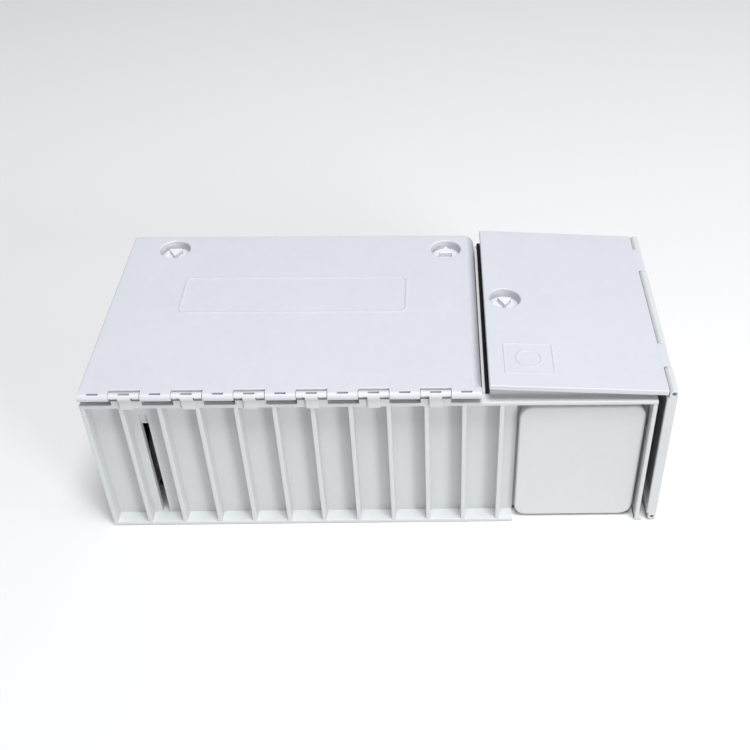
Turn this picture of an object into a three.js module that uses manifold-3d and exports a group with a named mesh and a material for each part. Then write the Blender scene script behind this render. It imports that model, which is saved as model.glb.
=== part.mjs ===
// Fiber termination box: a two-compartment wall box. The large compartment holds splices under a
// front-hinged cover; the small one holds the patch side under a door hung on a drop-down end panel.
import * as THREE from 'three';
import { mergeVertices } from 'three/addons/utils/BufferGeometryUtils.js';
import Module from 'manifold-3d';

const wasm = await Module();
wasm.setup();

// ---------------------------------------------------------------- driving dimensions (mm)
const LENGTH = 392;
const DEPTH = 184;
const HINGE_PROUD = 3;
const GAP = 0.3;
const LEFT = -LENGTH / 2;
const RIGHT = LENGTH / 2;
const FRONT = -(DEPTH - HINGE_PROUD) / 2;
const BACK = FRONT + DEPTH;

const RIB = 3;
const RIB_PITCH = 25;
const RIB_COUNT = 12;
const WALL = 2.5;
const WALL_SET_IN = 10;
const FLOOR = 3;
const RAIL_TOP = 116.5;
const RAIL = 3;
const RIM_TOP = 120;
const RIM_SET_IN = 8;
const BITE = 0.1;
const railBottom = RAIL_TOP - RAIL;
const leftWallX = LEFT + WALL_SET_IN;
const ribX = (index) => LEFT + RIB / 2 + index * RIB_PITCH;

const COVER_TOP = 127;
const COVER_SKIN = 2.5;
const SKIRT_BOTTOM = RAIL_TOP + 0.5;
const EDGE_SET_IN = 0.6;
const coverLeft = LEFT + 1;
const coverRight = LEFT + 262.9;
const coverBack = BACK - EDGE_SET_IN;

const HINGE_RADIUS = 3;
const HINGE_BORE = 1.4;
const HINGE_PIN = 1.1;
const LEAF_GAP = 0.5;
const KNUCKLE_COUNT = 13;
const hingeY = FRONT - HINGE_PROUD + HINGE_RADIUS;
const hingeZ = COVER_TOP - HINGE_RADIUS;
const knuckleLength = (coverRight - coverLeft) / KNUCKLE_COUNT;
const knuckleX = (index) => coverLeft + (index + 0.5) * knuckleLength;
const plateFront = hingeY + HINGE_RADIUS + LEAF_GAP;

const PARTITION = 3;
const partitionX = coverRight + 2.35;
const bayLeft = LEFT + 287.6;
const uprightLeft = LEFT + 376.7;
const uprightRight = uprightLeft + RIB;
const BAY_SET_IN = 13;

const DOOR_TOP = 125;
const DOOR_EDGE = 4;
const DOOR_SKIN = 2.6;
const DOOR_AJAR = THREE.MathUtils.degToRad(3);
const BARREL = 2.9;
const BARREL_BORE = 1.5;
const BARREL_PIN = 1.2;
const doorLeft = coverRight + 4.4;
const barrelX = RIGHT - BARREL;
const barrelTopZ = DOOR_TOP - BARREL;
const barrelBottomZ = BARREL + GAP;
const doorRight = barrelX - BARREL - 0.6;
const SIDE_HINGED = [[25.4, 49.8], [137, 164.8]];
const PANEL_HINGED = [[0, 25], [50.2, 136.6], [165.2, DEPTH]];
const PANEL_THICK = 7;

const LOCK_WELL = 11.25;
const LOCK_CUP = 12.75;
const LOCK_DEPTH = 7.4;
const LOCK_FLOOR = 2;
const LOCK_SHAFT = 2.7;
const LOCK_SLEEVE = 4.4;
const CAM_THICK = 2.5;
const CAM_WIDTH = 7;
const STRIKE_DOOR_REACH = 12.4;
const STRIKE_WALL_REACH = 14;

const PORT_RADIUS = 9;
const PORT_SKIN = 2.5;
const PORT_SET_IN = 4.8;
const portLeft = bayLeft + 1.4;
const portRight = uprightLeft - 2.4;
const PORT_BOTTOM = 1.5;
const PORT_TOP = 107;
const WINDOW_MARGIN = 7;

// ---------------------------------------------------------------- solids and booleans
const SIDES = [
  { name: 'front', y: (inset) => FRONT + inset },
  { name: 'rear', y: (inset) => BACK - inset },
];

function toManifold(geometry) {
  const bare = geometry.clone();
  bare.deleteAttribute('normal');
  bare.deleteAttribute('uv');
  const merged = mergeVertices(bare, 1e-5);
  return new wasm.Manifold(new wasm.Mesh({
    numProp: 3,
    vertProperties: new Float32Array(merged.attributes.position.array),
    triVerts: new Uint32Array(merged.index.array),
  }));
}

function toGeometry(body) {
  const mesh = body.getMesh();
  const geometry = new THREE.BufferGeometry();
  geometry.setAttribute('position', new THREE.BufferAttribute(new Float32Array(mesh.vertProperties), 3));
  geometry.setIndex(new THREE.BufferAttribute(new Uint32Array(mesh.triVerts), 1));
  const flat = geometry.toNonIndexed();
  flat.computeVertexNormals();
  return flat;
}

const join = (...bodies) => bodies.flat().reduce((whole, next) => whole.add(next));
const cut = (body, ...tools) => tools.flat().reduce((whole, tool) => whole.subtract(tool), body);

function block(x, y, z) {
  const sizes = [x, y, z].map(([a, b]) => Math.abs(b - a));
  const middles = [x, y, z].map(([a, b]) => (a + b) / 2);
  return toManifold(new THREE.BoxGeometry(...sizes).translate(...middles));
}

// A round bar along one axis; `at` holds its other two coordinates in x, y, z order.
function bar(axis, at, radius, [from, to], segments = 16) {
  const geometry = new THREE.CylinderGeometry(radius, radius, Math.abs(to - from), segments);
  const middle = (from + to) / 2;
  if (axis === 'x') geometry.rotateZ(Math.PI / 2).translate(middle, at[0], at[1]);
  if (axis === 'y') geometry.translate(at[0], middle, at[1]);
  if (axis === 'z') geometry.rotateX(Math.PI / 2).translate(at[0], at[1], middle);
  return toManifold(geometry);
}

function ring(axis, at, outer, inner, span, segments = 16) {
  const longer = [Math.min(...span) - 1, Math.max(...span) + 1];
  return cut(bar(axis, at, outer, span, segments), bar(axis, at, inner, longer, segments));
}

// A flat outline pushed through a thickness along Z.
function slab(shape, [from, to], curveSegments = 2) {
  const geometry = new THREE.ExtrudeGeometry(shape, {
    depth: to - from, bevelEnabled: false, curveSegments,
  });
  return toManifold(geometry.translate(0, 0, from));
}

// The same along Y, for an outline drawn in X and Z.
function wallSlab(shape, [from, to], curveSegments = 3) {
  const geometry = new THREE.ExtrudeGeometry(shape, {
    depth: Math.abs(to - from), bevelEnabled: false, curveSegments,
  });
  return toManifold(geometry.rotateX(Math.PI / 2).translate(0, Math.max(from, to), 0));
}

function roundedOutline([x0, x1], [y0, y1], radius) {
  const shape = new THREE.Shape();
  shape.moveTo(x0 + radius, y0);
  shape.lineTo(x1 - radius, y0);
  shape.absarc(x1 - radius, y0 + radius, radius, -Math.PI / 2, 0);
  shape.lineTo(x1, y1 - radius);
  shape.absarc(x1 - radius, y1 - radius, radius, 0, Math.PI / 2);
  shape.lineTo(x0 + radius, y1);
  shape.absarc(x0 + radius, y1 - radius, radius, Math.PI / 2, Math.PI);
  shape.lineTo(x0, y0 + radius);
  shape.absarc(x0 + radius, y0 + radius, radius, Math.PI, Math.PI * 1.5);
  return shape;
}

const grown = ([a, b], by) => [a - by, b + by];

// A raised outline standing on a top face.
function raisedFrame(x, y, radius, width, top, height) {
  const span = [top - height, top + height];
  const hole = slab(roundedOutline(grown(x, -width), grown(y, -width), radius - width), grown(span, 1));
  return cut(slab(roundedOutline(x, y, radius), span), hole);
}

// ---------------------------------------------------------------- finishes
const finish = (color, roughness, metalness = 0) =>
  new THREE.MeshStandardMaterial({ color, roughness, metalness });
const SHELL = () => finish(0xdfe3e8, 0.55);
const LID = () => finish(0xe2e5ec, 0.5);
const STEEL = () => finish(0xb9bcc0, 0.35, 1);
const BRIGHT = () => finish(0xe6e7ea, 0.4);
const FOAM = () => finish(0x08080a, 0.95);
const RUBBER = () => finish(0x17181a, 0.85);
const TRAY = () => finish(0x22252a, 0.5);
const GREEN = () => finish(0x1f8f4e, 0.4);
const CAP = () => finish(0xc9d3dc, 0.5);
const LABEL_GREY = () => finish(0xc4c9cf, 0.5);
const STRAP = () => finish(0x1b1d22, 0.95);

const box = new THREE.Group();
box.name = 'fiber_termination_box';

function piece(name, body, material, parent = box) {
  const mesh = new THREE.Mesh(toGeometry(body), material);
  mesh.name = name;
  parent.add(mesh);
  return mesh;
}

// ---------------------------------------------------------------- locks: shared positions
const lockAt = (name, fromLeft, fromFront, top, rest, apex, reach) =>
  ({ name, x: LEFT + fromLeft, y: FRONT + fromFront, top, rest, apex, reach });
const LOCKS = [
  lockAt('left', 34.5, 165.8, COVER_TOP, 0, -90, STRIKE_WALL_REACH),
  lockAt('right', 241.1, 164.5, COVER_TOP, 180, 90, STRIKE_WALL_REACH),
  lockAt('door', 282.3, 96, DOOR_TOP, -90, -90, STRIKE_DOOR_REACH),
];
const coverLocks = LOCKS.filter((lock) => lock.name !== 'door');
const doorLock = LOCKS.find((lock) => lock.name === 'door');
const cupFloorTop = (lock) => lock.top - LOCK_DEPTH;
const cupFloorBottom = (lock) => cupFloorTop(lock) - LOCK_FLOOR;
const camTop = (lock) => cupFloorBottom(lock) - 7.6;

// ---------------------------------------------------------------- base
const CAM_SLOT = { swingSide: 14, farSide: 6, above: 2, below: 2 };
const SLOT_X = [LEFT + 33.3, LEFT + 38.7];
const SLOT_Z = [FLOOR, 89.6];
const SLOT_COLLAR = 7.5;
const SLOT_HEAD = { top: 99, depth: 1.6 };
const GLAND_RADIUS = 12.7;
const GLAND_Z = 38;
const GLAND_INSETS = [52, 132];
const CARRIER_INSETS = [30, 146];
const CARRIER_X = LEFT + 78;
const CARRIER_Z = 9.5;
const LUG = 3.6;
const LUG_RADIUS = 4;
const ADAPTER_WINDOW = { inset: [44, 140], z: [18, 92] };
const CLAMP_SCREW = 1.3;
const SLOT_MARK = { length: 7.3, width: 1.2, depth: 2.4, lean: 0.75 };
const HINGE_WEB = { width: 8.3, proud: 1.6 };
const HINGE_FOOT = { top: 120.2, depth: 4 };
const HINGE_WINDOW = { above: 1, behind: 0.4 };

function longWall(side) {
  const { y } = side;
  const upTo = [0, railBottom + BITE];
  const rail = [railBottom, RAIL_TOP];
  const rim = [RAIL_TOP - BITE, RIM_TOP];
  const rimY = [y(RIM_SET_IN), y(RIM_SET_IN + WALL)];
  const shell = [
    block([LEFT, bayLeft], [y(WALL_SET_IN), y(WALL_SET_IN + WALL)], upTo),
    block([LEFT, bayLeft], [y(0), y(WALL_SET_IN + WALL)], rail),
    block([bayLeft - WALL, bayLeft], [y(WALL_SET_IN), y(BAY_SET_IN + WALL)], upTo),
    block([bayLeft - BITE, uprightRight], [y(0), y(BAY_SET_IN + WALL)], rail),
    block([bayLeft - WALL, uprightRight], [y(BAY_SET_IN), y(BAY_SET_IN + WALL)], upTo),
    block([uprightLeft, uprightRight], [y(0), y(BAY_SET_IN + WALL)], upTo),
    block([leftWallX - WALL, coverRight - COVER_SKIN - 2 * GAP], rimY, rim),
    block([partitionX + PARTITION + BITE, uprightRight], rimY, rim),
  ];
  const ribs = Array.from({ length: RIB_COUNT }, (_, index) => {
    const x = ribX(index);
    return block(grown([x, x], RIB / 2), [y(0), y(WALL_SET_IN + BITE)], [FLOOR - BITE, railBottom + BITE]);
  });
  return [...shell, ...ribs];
}

// The slot runs down to the floor inside a collar; its upper end is a shallow blind recess.
function fibreSlot(side) {
  const { y } = side;
  const wallInner = WALL_SET_IN + WALL;
  const collar = block(grown(SLOT_X, WALL - 0.5), [y(wallInner - BITE), y(wallInner + SLOT_COLLAR)],
    grown(SLOT_Z, WALL - 0.5));
  const way = block(SLOT_X, [y(WALL_SET_IN - 1), y(wallInner + SLOT_COLLAR + 1)], SLOT_Z);
  const head = block(SLOT_X, [y(WALL_SET_IN - 1), y(WALL_SET_IN + SLOT_HEAD.depth)],
    [SLOT_Z[1] - BITE, SLOT_HEAD.top]);
  return { collar, way, head };
}

function portWindow(side) {
  const outline = roundedOutline(grown([portLeft, portRight], -WINDOW_MARGIN),
    grown([PORT_BOTTOM, PORT_TOP], -WINDOW_MARGIN), PORT_RADIUS - 3);
  return wallSlab(outline, [side.y(BAY_SET_IN - 1), side.y(BAY_SET_IN + WALL + 1)]);
}

function endWall() {
  const spanY = [FRONT + WALL_SET_IN, BACK - WALL_SET_IN];
  const wall = [
    block([leftWallX, leftWallX + WALL], spanY, [0, railBottom + BITE]),
    block([LEFT, leftWallX + WALL], [FRONT, BACK], [railBottom, RAIL_TOP]),
    block([leftWallX - WALL, leftWallX], [FRONT + RIM_SET_IN, BACK - RIM_SET_IN],
      [RAIL_TOP - BITE, RIM_TOP]),
  ];
  for (const share of [0.11, 0.5, 0.89]) {
    const y = FRONT + DEPTH * share;
    wall.push(block([LEFT, leftWallX + BITE], grown([y, y], RIB / 2), [FLOOR - BITE, railBottom + BITE]));
  }
  return wall;
}

// A base knuckle: the barrel, a narrow web in the middle and a full-width foot on the rail.
function mainHingeWeb(index) {
  const x = knuckleX(index);
  const half = knuckleLength / 2 - GAP / 2;
  return join(
    bar('x', [hingeY, hingeZ], HINGE_RADIUS, [x - half, x + half]),
    block(grown([x, x], HINGE_WEB.width / 2), [FRONT - HINGE_WEB.proud, FRONT + HINGE_FOOT.depth],
      [railBottom + BITE, HINGE_FOOT.top]),
    block(grown([x, x], HINGE_WEB.width / 2), [FRONT - HINGE_WEB.proud, hingeY + HINGE_RADIUS / 2],
      [HINGE_FOOT.top - BITE, hingeZ]),
    block([x - half, x + half], [FRONT, FRONT + HINGE_FOOT.depth], [RAIL_TOP - BITE, HINGE_FOOT.top]),
  );
}

// Beside its web each base knuckle is open at the lower front, down to the pin.
function hingeWindows(index) {
  const x = knuckleX(index);
  const half = knuckleLength / 2;
  const y = [hingeY - HINGE_RADIUS - 1, hingeY + HINGE_WINDOW.behind];
  const z = [HINGE_FOOT.top + GAP, hingeZ + HINGE_WINDOW.above];
  return [
    block([x - half, x - HINGE_WEB.width / 2], y, z),
    block([x + HINGE_WEB.width / 2, x + half], y, z),
  ];
}

const knuckles = Array.from({ length: KNUCKLE_COUNT }, (_, index) => index);
const baseKnuckles = knuckles.filter((index) => index % 2 === 1);
const coverKnuckles = knuckles.filter((index) => index % 2 === 0);

function sideHingeRow(segments, z, [webLow, webHigh], [webLeft, webRight]) {
  return segments.flatMap(([a, b]) => [
    bar('y', [barrelX, z], BARREL, [FRONT + a, FRONT + b]),
    block([webLeft, webRight], [FRONT + a, FRONT + b], [webLow, webHigh]),
  ]);
}

function hingeSlots(indices) {
  return indices.map((index) => {
    const x = knuckleX(index);
    const y = hingeY - SLOT_MARK.lean;
    return block(grown([x, x], SLOT_MARK.length / 2), grown([y, y], SLOT_MARK.width / 2),
      [COVER_TOP - SLOT_MARK.depth, COVER_TOP + 1]);
  });
}

function buildBase() {
  const inner = [FRONT + WALL_SET_IN + WALL - BITE, BACK - WALL_SET_IN - WALL + BITE];
  const floors = [
    block([LEFT, bayLeft], [FRONT, BACK], [0, FLOOR]),
    block([bayLeft - BITE, uprightRight + 2], [FRONT + BAY_SET_IN, BACK - BAY_SET_IN], [0, FLOOR]),
    block([uprightLeft, uprightRight + 2], [FRONT, BACK], [0, FLOOR]),
  ];
  const partition = cut(
    block([partitionX, partitionX + PARTITION], inner, [FLOOR - BITE, RAIL_TOP]),
    block(grown([partitionX, partitionX + PARTITION], 1),
      ADAPTER_WINDOW.inset.map((inset) => FRONT + inset), ADAPTER_WINDOW.z),
  );
  const doorStrikeTop = camTop(doorLock) + 3;
  const doorStrike = block([partitionX + PARTITION - BITE, partitionX + PARTITION + 6.5],
    [doorLock.y - 11, doorLock.y + 11], [doorStrikeTop - 2.6, doorStrikeTop]);
  const lugs = CARRIER_INSETS.flatMap((inset, end) => {
    const outward = end === 0 ? -1 : 1;
    const y = [GAP, LUG].map((step) => FRONT + inset + outward * step);
    return [
      block(grown([CARRIER_X, CARRIER_X], LUG_RADIUS), y, [FLOOR - BITE, CARRIER_Z]),
      bar('y', [CARRIER_X, CARRIER_Z], LUG_RADIUS, y),
    ];
  });
  const slots = SIDES.map(fibreSlot);
  const solid = join(
    floors, SIDES.flatMap(longWall), endWall(), partition, doorStrike, lugs,
    slots.map((slot) => slot.collar), baseKnuckles.map(mainHingeWeb),
    sideHingeRow(SIDE_HINGED, barrelBottomZ, [GAP, barrelBottomZ], [uprightRight + 1, barrelX]),
  );
  const camWays = coverLocks.map((lock) => {
    const swing = lock.rest === 0 ? 1 : -1;
    return block([lock.x - swing * CAM_SLOT.farSide, lock.x + swing * CAM_SLOT.swingSide],
      [BACK - WALL_SET_IN - WALL - 1, BACK - WALL_SET_IN + 1],
      [camTop(lock) - CAM_THICK - CAM_SLOT.below, camTop(lock) + CAM_SLOT.above]);
  });
  const cupWays = coverLocks.map((lock) => block([lock.x - LOCK_CUP - 2, lock.x + LOCK_CUP + 2],
    [BACK - WALL_SET_IN - WALL - 1, BACK - RIM_SET_IN + 1], [RAIL_TOP, RIM_TOP + 1]));
  const glands = GLAND_INSETS.map((inset) => bar('x', [FRONT + inset, GLAND_Z], GLAND_RADIUS,
    [leftWallX - 1, leftWallX + WALL + 1], 16));
  const bores = [
    bar('x', [hingeY, hingeZ], HINGE_BORE, [coverLeft - 1, coverRight + 1], 10),
    bar('y', [barrelX, barrelBottomZ], BARREL_BORE, [FRONT - 1, BACK + 1], 10),
    bar('y', [CARRIER_X, CARRIER_Z], BARREL_BORE, [FRONT + 20, BACK - 20], 12),
  ];
  return cut(solid, slots.map((slot) => slot.way), slots.map((slot) => slot.head), SIDES.map(portWindow),
    camWays, cupWays, glands, bores, hingeSlots(baseKnuckles), baseKnuckles.flatMap(hingeWindows));
}

piece('base', buildBase(), SHELL());

// ---------------------------------------------------------------- main cover and its hinge pin
const coverBody = new THREE.Group();
coverBody.name = 'cover_body';
box.add(coverBody);

function coverProfile(inset) {
  const edge = 8 - inset;
  const top = COVER_TOP - inset;
  const shape = new THREE.Shape();
  shape.moveTo(coverLeft + inset, SKIRT_BOTTOM);
  shape.lineTo(coverRight - inset, SKIRT_BOTTOM);
  shape.lineTo(coverRight - inset, top - edge);
  shape.absarc(coverRight - inset - edge, top - edge, edge, 0, Math.PI / 2);
  shape.lineTo(coverLeft + inset + 1, top);
  shape.lineTo(coverLeft + inset, top - 1);
  return shape;
}

function lockCup(lock) {
  return bar('z', [lock.x, lock.y], LOCK_CUP, [cupFloorBottom(lock), lock.top - 0.5], 28);
}

function lockWell(lock) {
  return [
    bar('z', [lock.x, lock.y], LOCK_WELL, [cupFloorTop(lock), lock.top + 1], 28),
    bar('z', [lock.x, lock.y], LOCK_SHAFT + GAP, [cupFloorBottom(lock) - 1, lock.top], 12),
  ];
}

const LABEL_X = [LEFT + 50.5, LEFT + 212.5];
const LABEL_Y = [FRONT + 85, FRONT + 128];

function buildCover() {
  const skin = cut(
    wallSlab(coverProfile(0), [plateFront, coverBack], 4),
    wallSlab(coverProfile(COVER_SKIN), [plateFront - 1, coverBack - COVER_SKIN], 4),
    block([coverLeft + COVER_SKIN, coverRight - COVER_SKIN], [plateFront - 1, coverBack - COVER_SKIN],
      [SKIRT_BOTTOM - 1, SKIRT_BOTTOM + 1]),
  );
  const footprint = slab(roundedOutline([coverLeft, coverRight], [plateFront - 20, coverBack], 2.5),
    [SKIRT_BOTTOM - 1, COVER_TOP + 1], 2);
  const leaves = coverKnuckles.flatMap((index) => {
    const x = knuckleX(index);
    const half = knuckleLength / 2 - GAP / 2;
    return [
      bar('x', [hingeY, hingeZ], HINGE_RADIUS, [x - half, x + half]),
      block([x - half, x + half], [hingeY, plateFront + 1], [COVER_TOP - COVER_SKIN, COVER_TOP]),
    ];
  });
  const stiffeners = [0.36, 0.68].map((share) => {
    const x = coverLeft + (coverRight - coverLeft) * share;
    return block([x - 1, x + 1], [plateFront + 6, coverBack - 34], [COVER_TOP - 6, COVER_TOP - 1]);
  });
  const solid = join(skin.intersect(footprint), leaves, stiffeners, coverLocks.map(lockCup),
    raisedFrame(LABEL_X, LABEL_Y, 5, 1, COVER_TOP, 0.35));
  return cut(solid, coverLocks.flatMap(lockWell), hingeSlots(coverKnuckles),
    bar('x', [hingeY, hingeZ], HINGE_BORE, [coverLeft - 1, coverRight + 1], 10));
}

piece('main_cover', buildCover(), LID(), coverBody);
piece('main_hinge_pin', bar('x', [hingeY, hingeZ], HINGE_PIN, grown([coverLeft, coverRight], -0.4), 10),
  STEEL());

// ---------------------------------------------------------------- drop-down end panel and pins
const panelBody = new THREE.Group();
panelBody.name = 'end_panel_body';
box.add(panelBody);

function buildEndPanel() {
  const panelLeft = RIGHT - PANEL_THICK;
  const low = barrelBottomZ + BARREL + 0.6;
  const high = barrelTopZ - BARREL - 0.6;
  const shell = cut(
    block([panelLeft, RIGHT], [FRONT, BACK], [low, high]),
    block([panelLeft - 1, RIGHT - WALL], [FRONT + WALL, BACK - WALL], [low + WALL, high - WALL]),
  );
  const ribs = [0.25, 0.5, 0.75].map((share) => {
    const y = FRONT + DEPTH * share;
    return block([panelLeft + 1, RIGHT - 1], [y - 1, y + 1], [low + 1, high - 1]);
  });
  const web = [barrelX - BARREL, RIGHT];
  const shoulders = PANEL_HINGED.map(([a, b]) => block([barrelX, RIGHT], [FRONT + a, FRONT + b],
    [barrelTopZ - 1, DOOR_TOP - 0.4]));
  const solid = join(shell, ribs, shoulders,
    sideHingeRow(PANEL_HINGED, barrelTopZ, [high - 0.5, barrelTopZ], web),
    sideHingeRow(PANEL_HINGED, barrelBottomZ, [barrelBottomZ, low + 0.5], web));
  return cut(solid,
    bar('y', [barrelX, barrelTopZ], BARREL_BORE, [FRONT - 1, BACK + 1], 10),
    bar('y', [barrelX, barrelBottomZ], BARREL_BORE, [FRONT - 1, BACK + 1], 10));
}

const pinSpan = [FRONT + 3, BACK - 3];
piece('end_panel', buildEndPanel(), SHELL(), panelBody);
piece('end_panel_pin', bar('y', [barrelX, barrelBottomZ], BARREL_PIN, pinSpan, 10), STEEL());
piece('door_pin', bar('y', [barrelX, barrelTopZ], BARREL_PIN, pinSpan, 10), STEEL(), panelBody);

// ---------------------------------------------------------------- door, standing slightly ajar
const doorPivot = new THREE.Group();
doorPivot.name = 'door_pivot';
doorPivot.position.set(barrelX, 0, barrelTopZ);
doorPivot.rotation.y = DOOR_AJAR;
panelBody.add(doorPivot);
const doorBody = new THREE.Group();
doorBody.name = 'door_body';
doorBody.position.set(-barrelX, 0, -barrelTopZ);
doorPivot.add(doorBody);

const MARK_X = [LEFT + 278, LEFT + 311.8];
const MARK_Y = [FRONT + 13, FRONT + 44.5];

function buildDoor() {
  const x = [doorLeft, doorRight];
  const y = [FRONT, coverBack];
  const shell = cut(
    block(x, y, [DOOR_TOP - DOOR_EDGE, DOOR_TOP]),
    block(grown(x, -WALL), grown(y, -WALL), [DOOR_TOP - DOOR_EDGE - 1, DOOR_TOP - DOOR_SKIN]),
  );
  const stiffeners = [0.3, 0.72].map((share) => {
    const middle = FRONT + DEPTH * share;
    return block(grown(x, -1), [middle - 1, middle + 1], [DOOR_TOP - DOOR_EDGE, DOOR_TOP - 1]);
  });
  const markMiddle = [(MARK_X[0] + MARK_X[1]) / 2, (MARK_Y[0] + MARK_Y[1]) / 2];
  const solid = join(shell, stiffeners, lockCup(doorLock),
    sideHingeRow(SIDE_HINGED, barrelTopZ, [barrelTopZ + 0.7, DOOR_TOP], [doorRight - 1, barrelX]),
    raisedFrame(MARK_X, MARK_Y, 1.5, 0.9, DOOR_TOP, 0.35),
    ring('z', markMiddle, 9, 8.1, [DOOR_TOP - 0.35, DOOR_TOP + 0.35], 28));
  return cut(solid, lockWell(doorLock),
    bar('y', [barrelX, barrelTopZ], BARREL_BORE, [FRONT - 1, BACK + 1], 10));
}

piece('door', buildDoor(), LID(), doorBody);

// ---------------------------------------------------------------- triangle-key quarter-turn locks
function triangle(lock, side) {
  const reach = side / Math.sqrt(3);
  const shape = new THREE.Shape();
  [0, 120, 240].forEach((turn, index) => {
    const angle = THREE.MathUtils.degToRad(lock.apex + turn);
    const point = [lock.x + reach * Math.cos(angle), lock.y + reach * Math.sin(angle)];
    if (index === 0) shape.moveTo(...point);
    else shape.lineTo(...point);
  });
  return shape;
}

function buildLock(lock, parent) {
  const at = [lock.x, lock.y];
  const floorTop = cupFloorTop(lock);
  const floorBottom = cupFloorBottom(lock);
  const plug = join(
    bar('z', at, LOCK_WELL - 2.6, [floorTop + GAP, floorTop + 2], 20),
    slab(triangle(lock, 11), [floorTop + 1.5, lock.top - 1.4]),
    bar('z', at, LOCK_SHAFT, [camTop(lock) - CAM_THICK - 3.6, floorTop + 1], 12),
  );
  const sleeve = ring('z', at, LOCK_SLEEVE, LOCK_SHAFT + GAP, [camTop(lock) + GAP, floorBottom - GAP], 12);
  const turn = THREE.MathUtils.degToRad(lock.rest);
  const tongue = block([-CAM_WIDTH / 2, lock.reach], [-CAM_WIDTH / 2, CAM_WIDTH / 2], [-CAM_THICK, 0]);
  const cam = cut(tongue, bar('z', [0, 0], LOCK_SHAFT + GAP, [-CAM_THICK - 1, 1], 12));
  const nut = cut(bar('z', [0, 0], LOCK_SLEEVE, [-CAM_THICK - 3.2, -CAM_THICK - GAP], 6),
    bar('z', [0, 0], LOCK_SHAFT + GAP, [-CAM_THICK - 4, 0], 12));
  piece(`lock_sleeve_${lock.name}`, sleeve, STEEL(), parent);
  piece(`lock_plug_${lock.name}`, plug, BRIGHT(), parent);
  const camPiece = piece(`lock_cam_${lock.name}`, cam, STEEL(), parent);
  const nutPiece = piece(`lock_nut_${lock.name}`, nut, STEEL(), parent);
  for (const loose of [camPiece, nutPiece]) {
    loose.position.set(lock.x, lock.y, camTop(lock));
    loose.rotation.z = turn;
  }
}

coverLocks.forEach((lock) => buildLock(lock, coverBody));
buildLock(doorLock, doorBody);

// ---------------------------------------------------------------- port covers
function buildPortCover(side) {
  const { y } = side;
  const x = [portLeft, portRight];
  const z = [PORT_BOTTOM, PORT_TOP];
  const outer = wallSlab(roundedOutline(x, z, PORT_RADIUS), [y(PORT_SET_IN), y(BAY_SET_IN - GAP)], 4);
  const hollow = roundedOutline(grown(x, -PORT_SKIN), grown(z, -PORT_SKIN), PORT_RADIUS - PORT_SKIN);
  const inner = wallSlab(hollow, [y(PORT_SET_IN + PORT_SKIN), y(BAY_SET_IN + 1)], 2);
  const tongues = [];
  for (const tongueX of [portLeft + WINDOW_MARGIN + 2, portRight - WINDOW_MARGIN - 2]) {
    for (const tongueZ of [PORT_BOTTOM + 30, PORT_TOP - 30]) {
      tongues.push(block([tongueX - 1, tongueX + 1], [y(PORT_SET_IN + 1), y(BAY_SET_IN + WALL + 2)],
        [tongueZ - 6, tongueZ + 6]));
    }
  }
  return join(cut(outer, inner), tongues);
}

SIDES.forEach((side) => piece(`${side.name}_port_cover`, buildPortCover(side), SHELL()));

// ---------------------------------------------------------------- partition seal and adapter field
const sealZ = [RAIL_TOP + GAP, RIM_TOP + 0.3];
piece('partition_seal', block([partitionX + 0.2, partitionX + PARTITION - 0.2],
  [FRONT + RIM_SET_IN, BACK - 1.5], sealZ), FOAM());

const plateX = [partitionX + PARTITION + GAP, partitionX + PARTITION + GAP + 2];
const ADAPTER_INSETS = [64, 92, 120];
const ADAPTER_ZS = [38, 72];
const ADAPTER_HALF = [6.4, 4.65];
const adapterSpots = ADAPTER_ZS.flatMap((z) => ADAPTER_INSETS.map((inset) => ({ y: FRONT + inset, z })));

function buildAdapterPlate() {
  const plate = block(plateX, [FRONT + 38, FRONT + 146], [12, 98]);
  const holes = adapterSpots.map(({ y, z }) => block(grown(plateX, 1), grown([y, y], ADAPTER_HALF[0] + GAP),
    grown([z, z], ADAPTER_HALF[1] + GAP)));
  const screws = [41, 143].map((inset) => bar('x', [FRONT + inset, 55], 1.8, grown(plateX, 1), 12));
  return cut(plate, holes, screws);
}

function buildAdapter({ y, z }) {
  const x = [partitionX - 7.5, partitionX + 18];
  const flange = [plateX[1] + GAP, plateX[1] + GAP + 2];
  const body = join(
    block(x, grown([y, y], ADAPTER_HALF[0]), grown([z, z], ADAPTER_HALF[1])),
    block(flange, grown([y, y], 11), grown([z, z], ADAPTER_HALF[1])),
  );
  const sockets = [[x[0] - 1, x[0] + 10], [x[1] - 10, x[1] + 1]].map((span) =>
    block(span, grown([y, y], ADAPTER_HALF[0] - 1.6), grown([z, z], ADAPTER_HALF[1] - 1.3)));
  return cut(body, sockets);
}

function buildDustCap({ y, z }) {
  const mouth = partitionX + 18;
  return join(
    block([mouth - 6, mouth + 1], grown([y, y], ADAPTER_HALF[0] - 2), grown([z, z], ADAPTER_HALF[1] - 1.7)),
    block([mouth + GAP, mouth + 2.5], grown([y, y], ADAPTER_HALF[0]), grown([z, z], ADAPTER_HALF[1])),
    bar('x', [y, z], 3, [mouth + 2, mouth + 9], 12),
  );
}

piece('adapter_plate', buildAdapterPlate(), LABEL_GREY());
adapterSpots.forEach((spot, index) => {
  piece(`adapter_${index + 1}`, buildAdapter(spot), GREEN());
  piece(`dust_cap_${index + 1}`, buildDustCap(spot), CAP());
});
[41, 143].forEach((inset, index) => {
  const head = plateX[1] + GAP;
  const at = [FRONT + inset, 55];
  piece(`plate_screw_${index + 1}`, join(
    bar('x', at, 3, [head, head + 2], 12),
    bar('x', at, 1.5, [plateX[0] + GAP - 0.1, head + 1], 12),
  ), STEEL());
});

// ---------------------------------------------------------------- hinged splice tray carrier
const carrierBody = new THREE.Group();
carrierBody.name = 'tray_carrier_body';
box.add(carrierBody);

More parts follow.
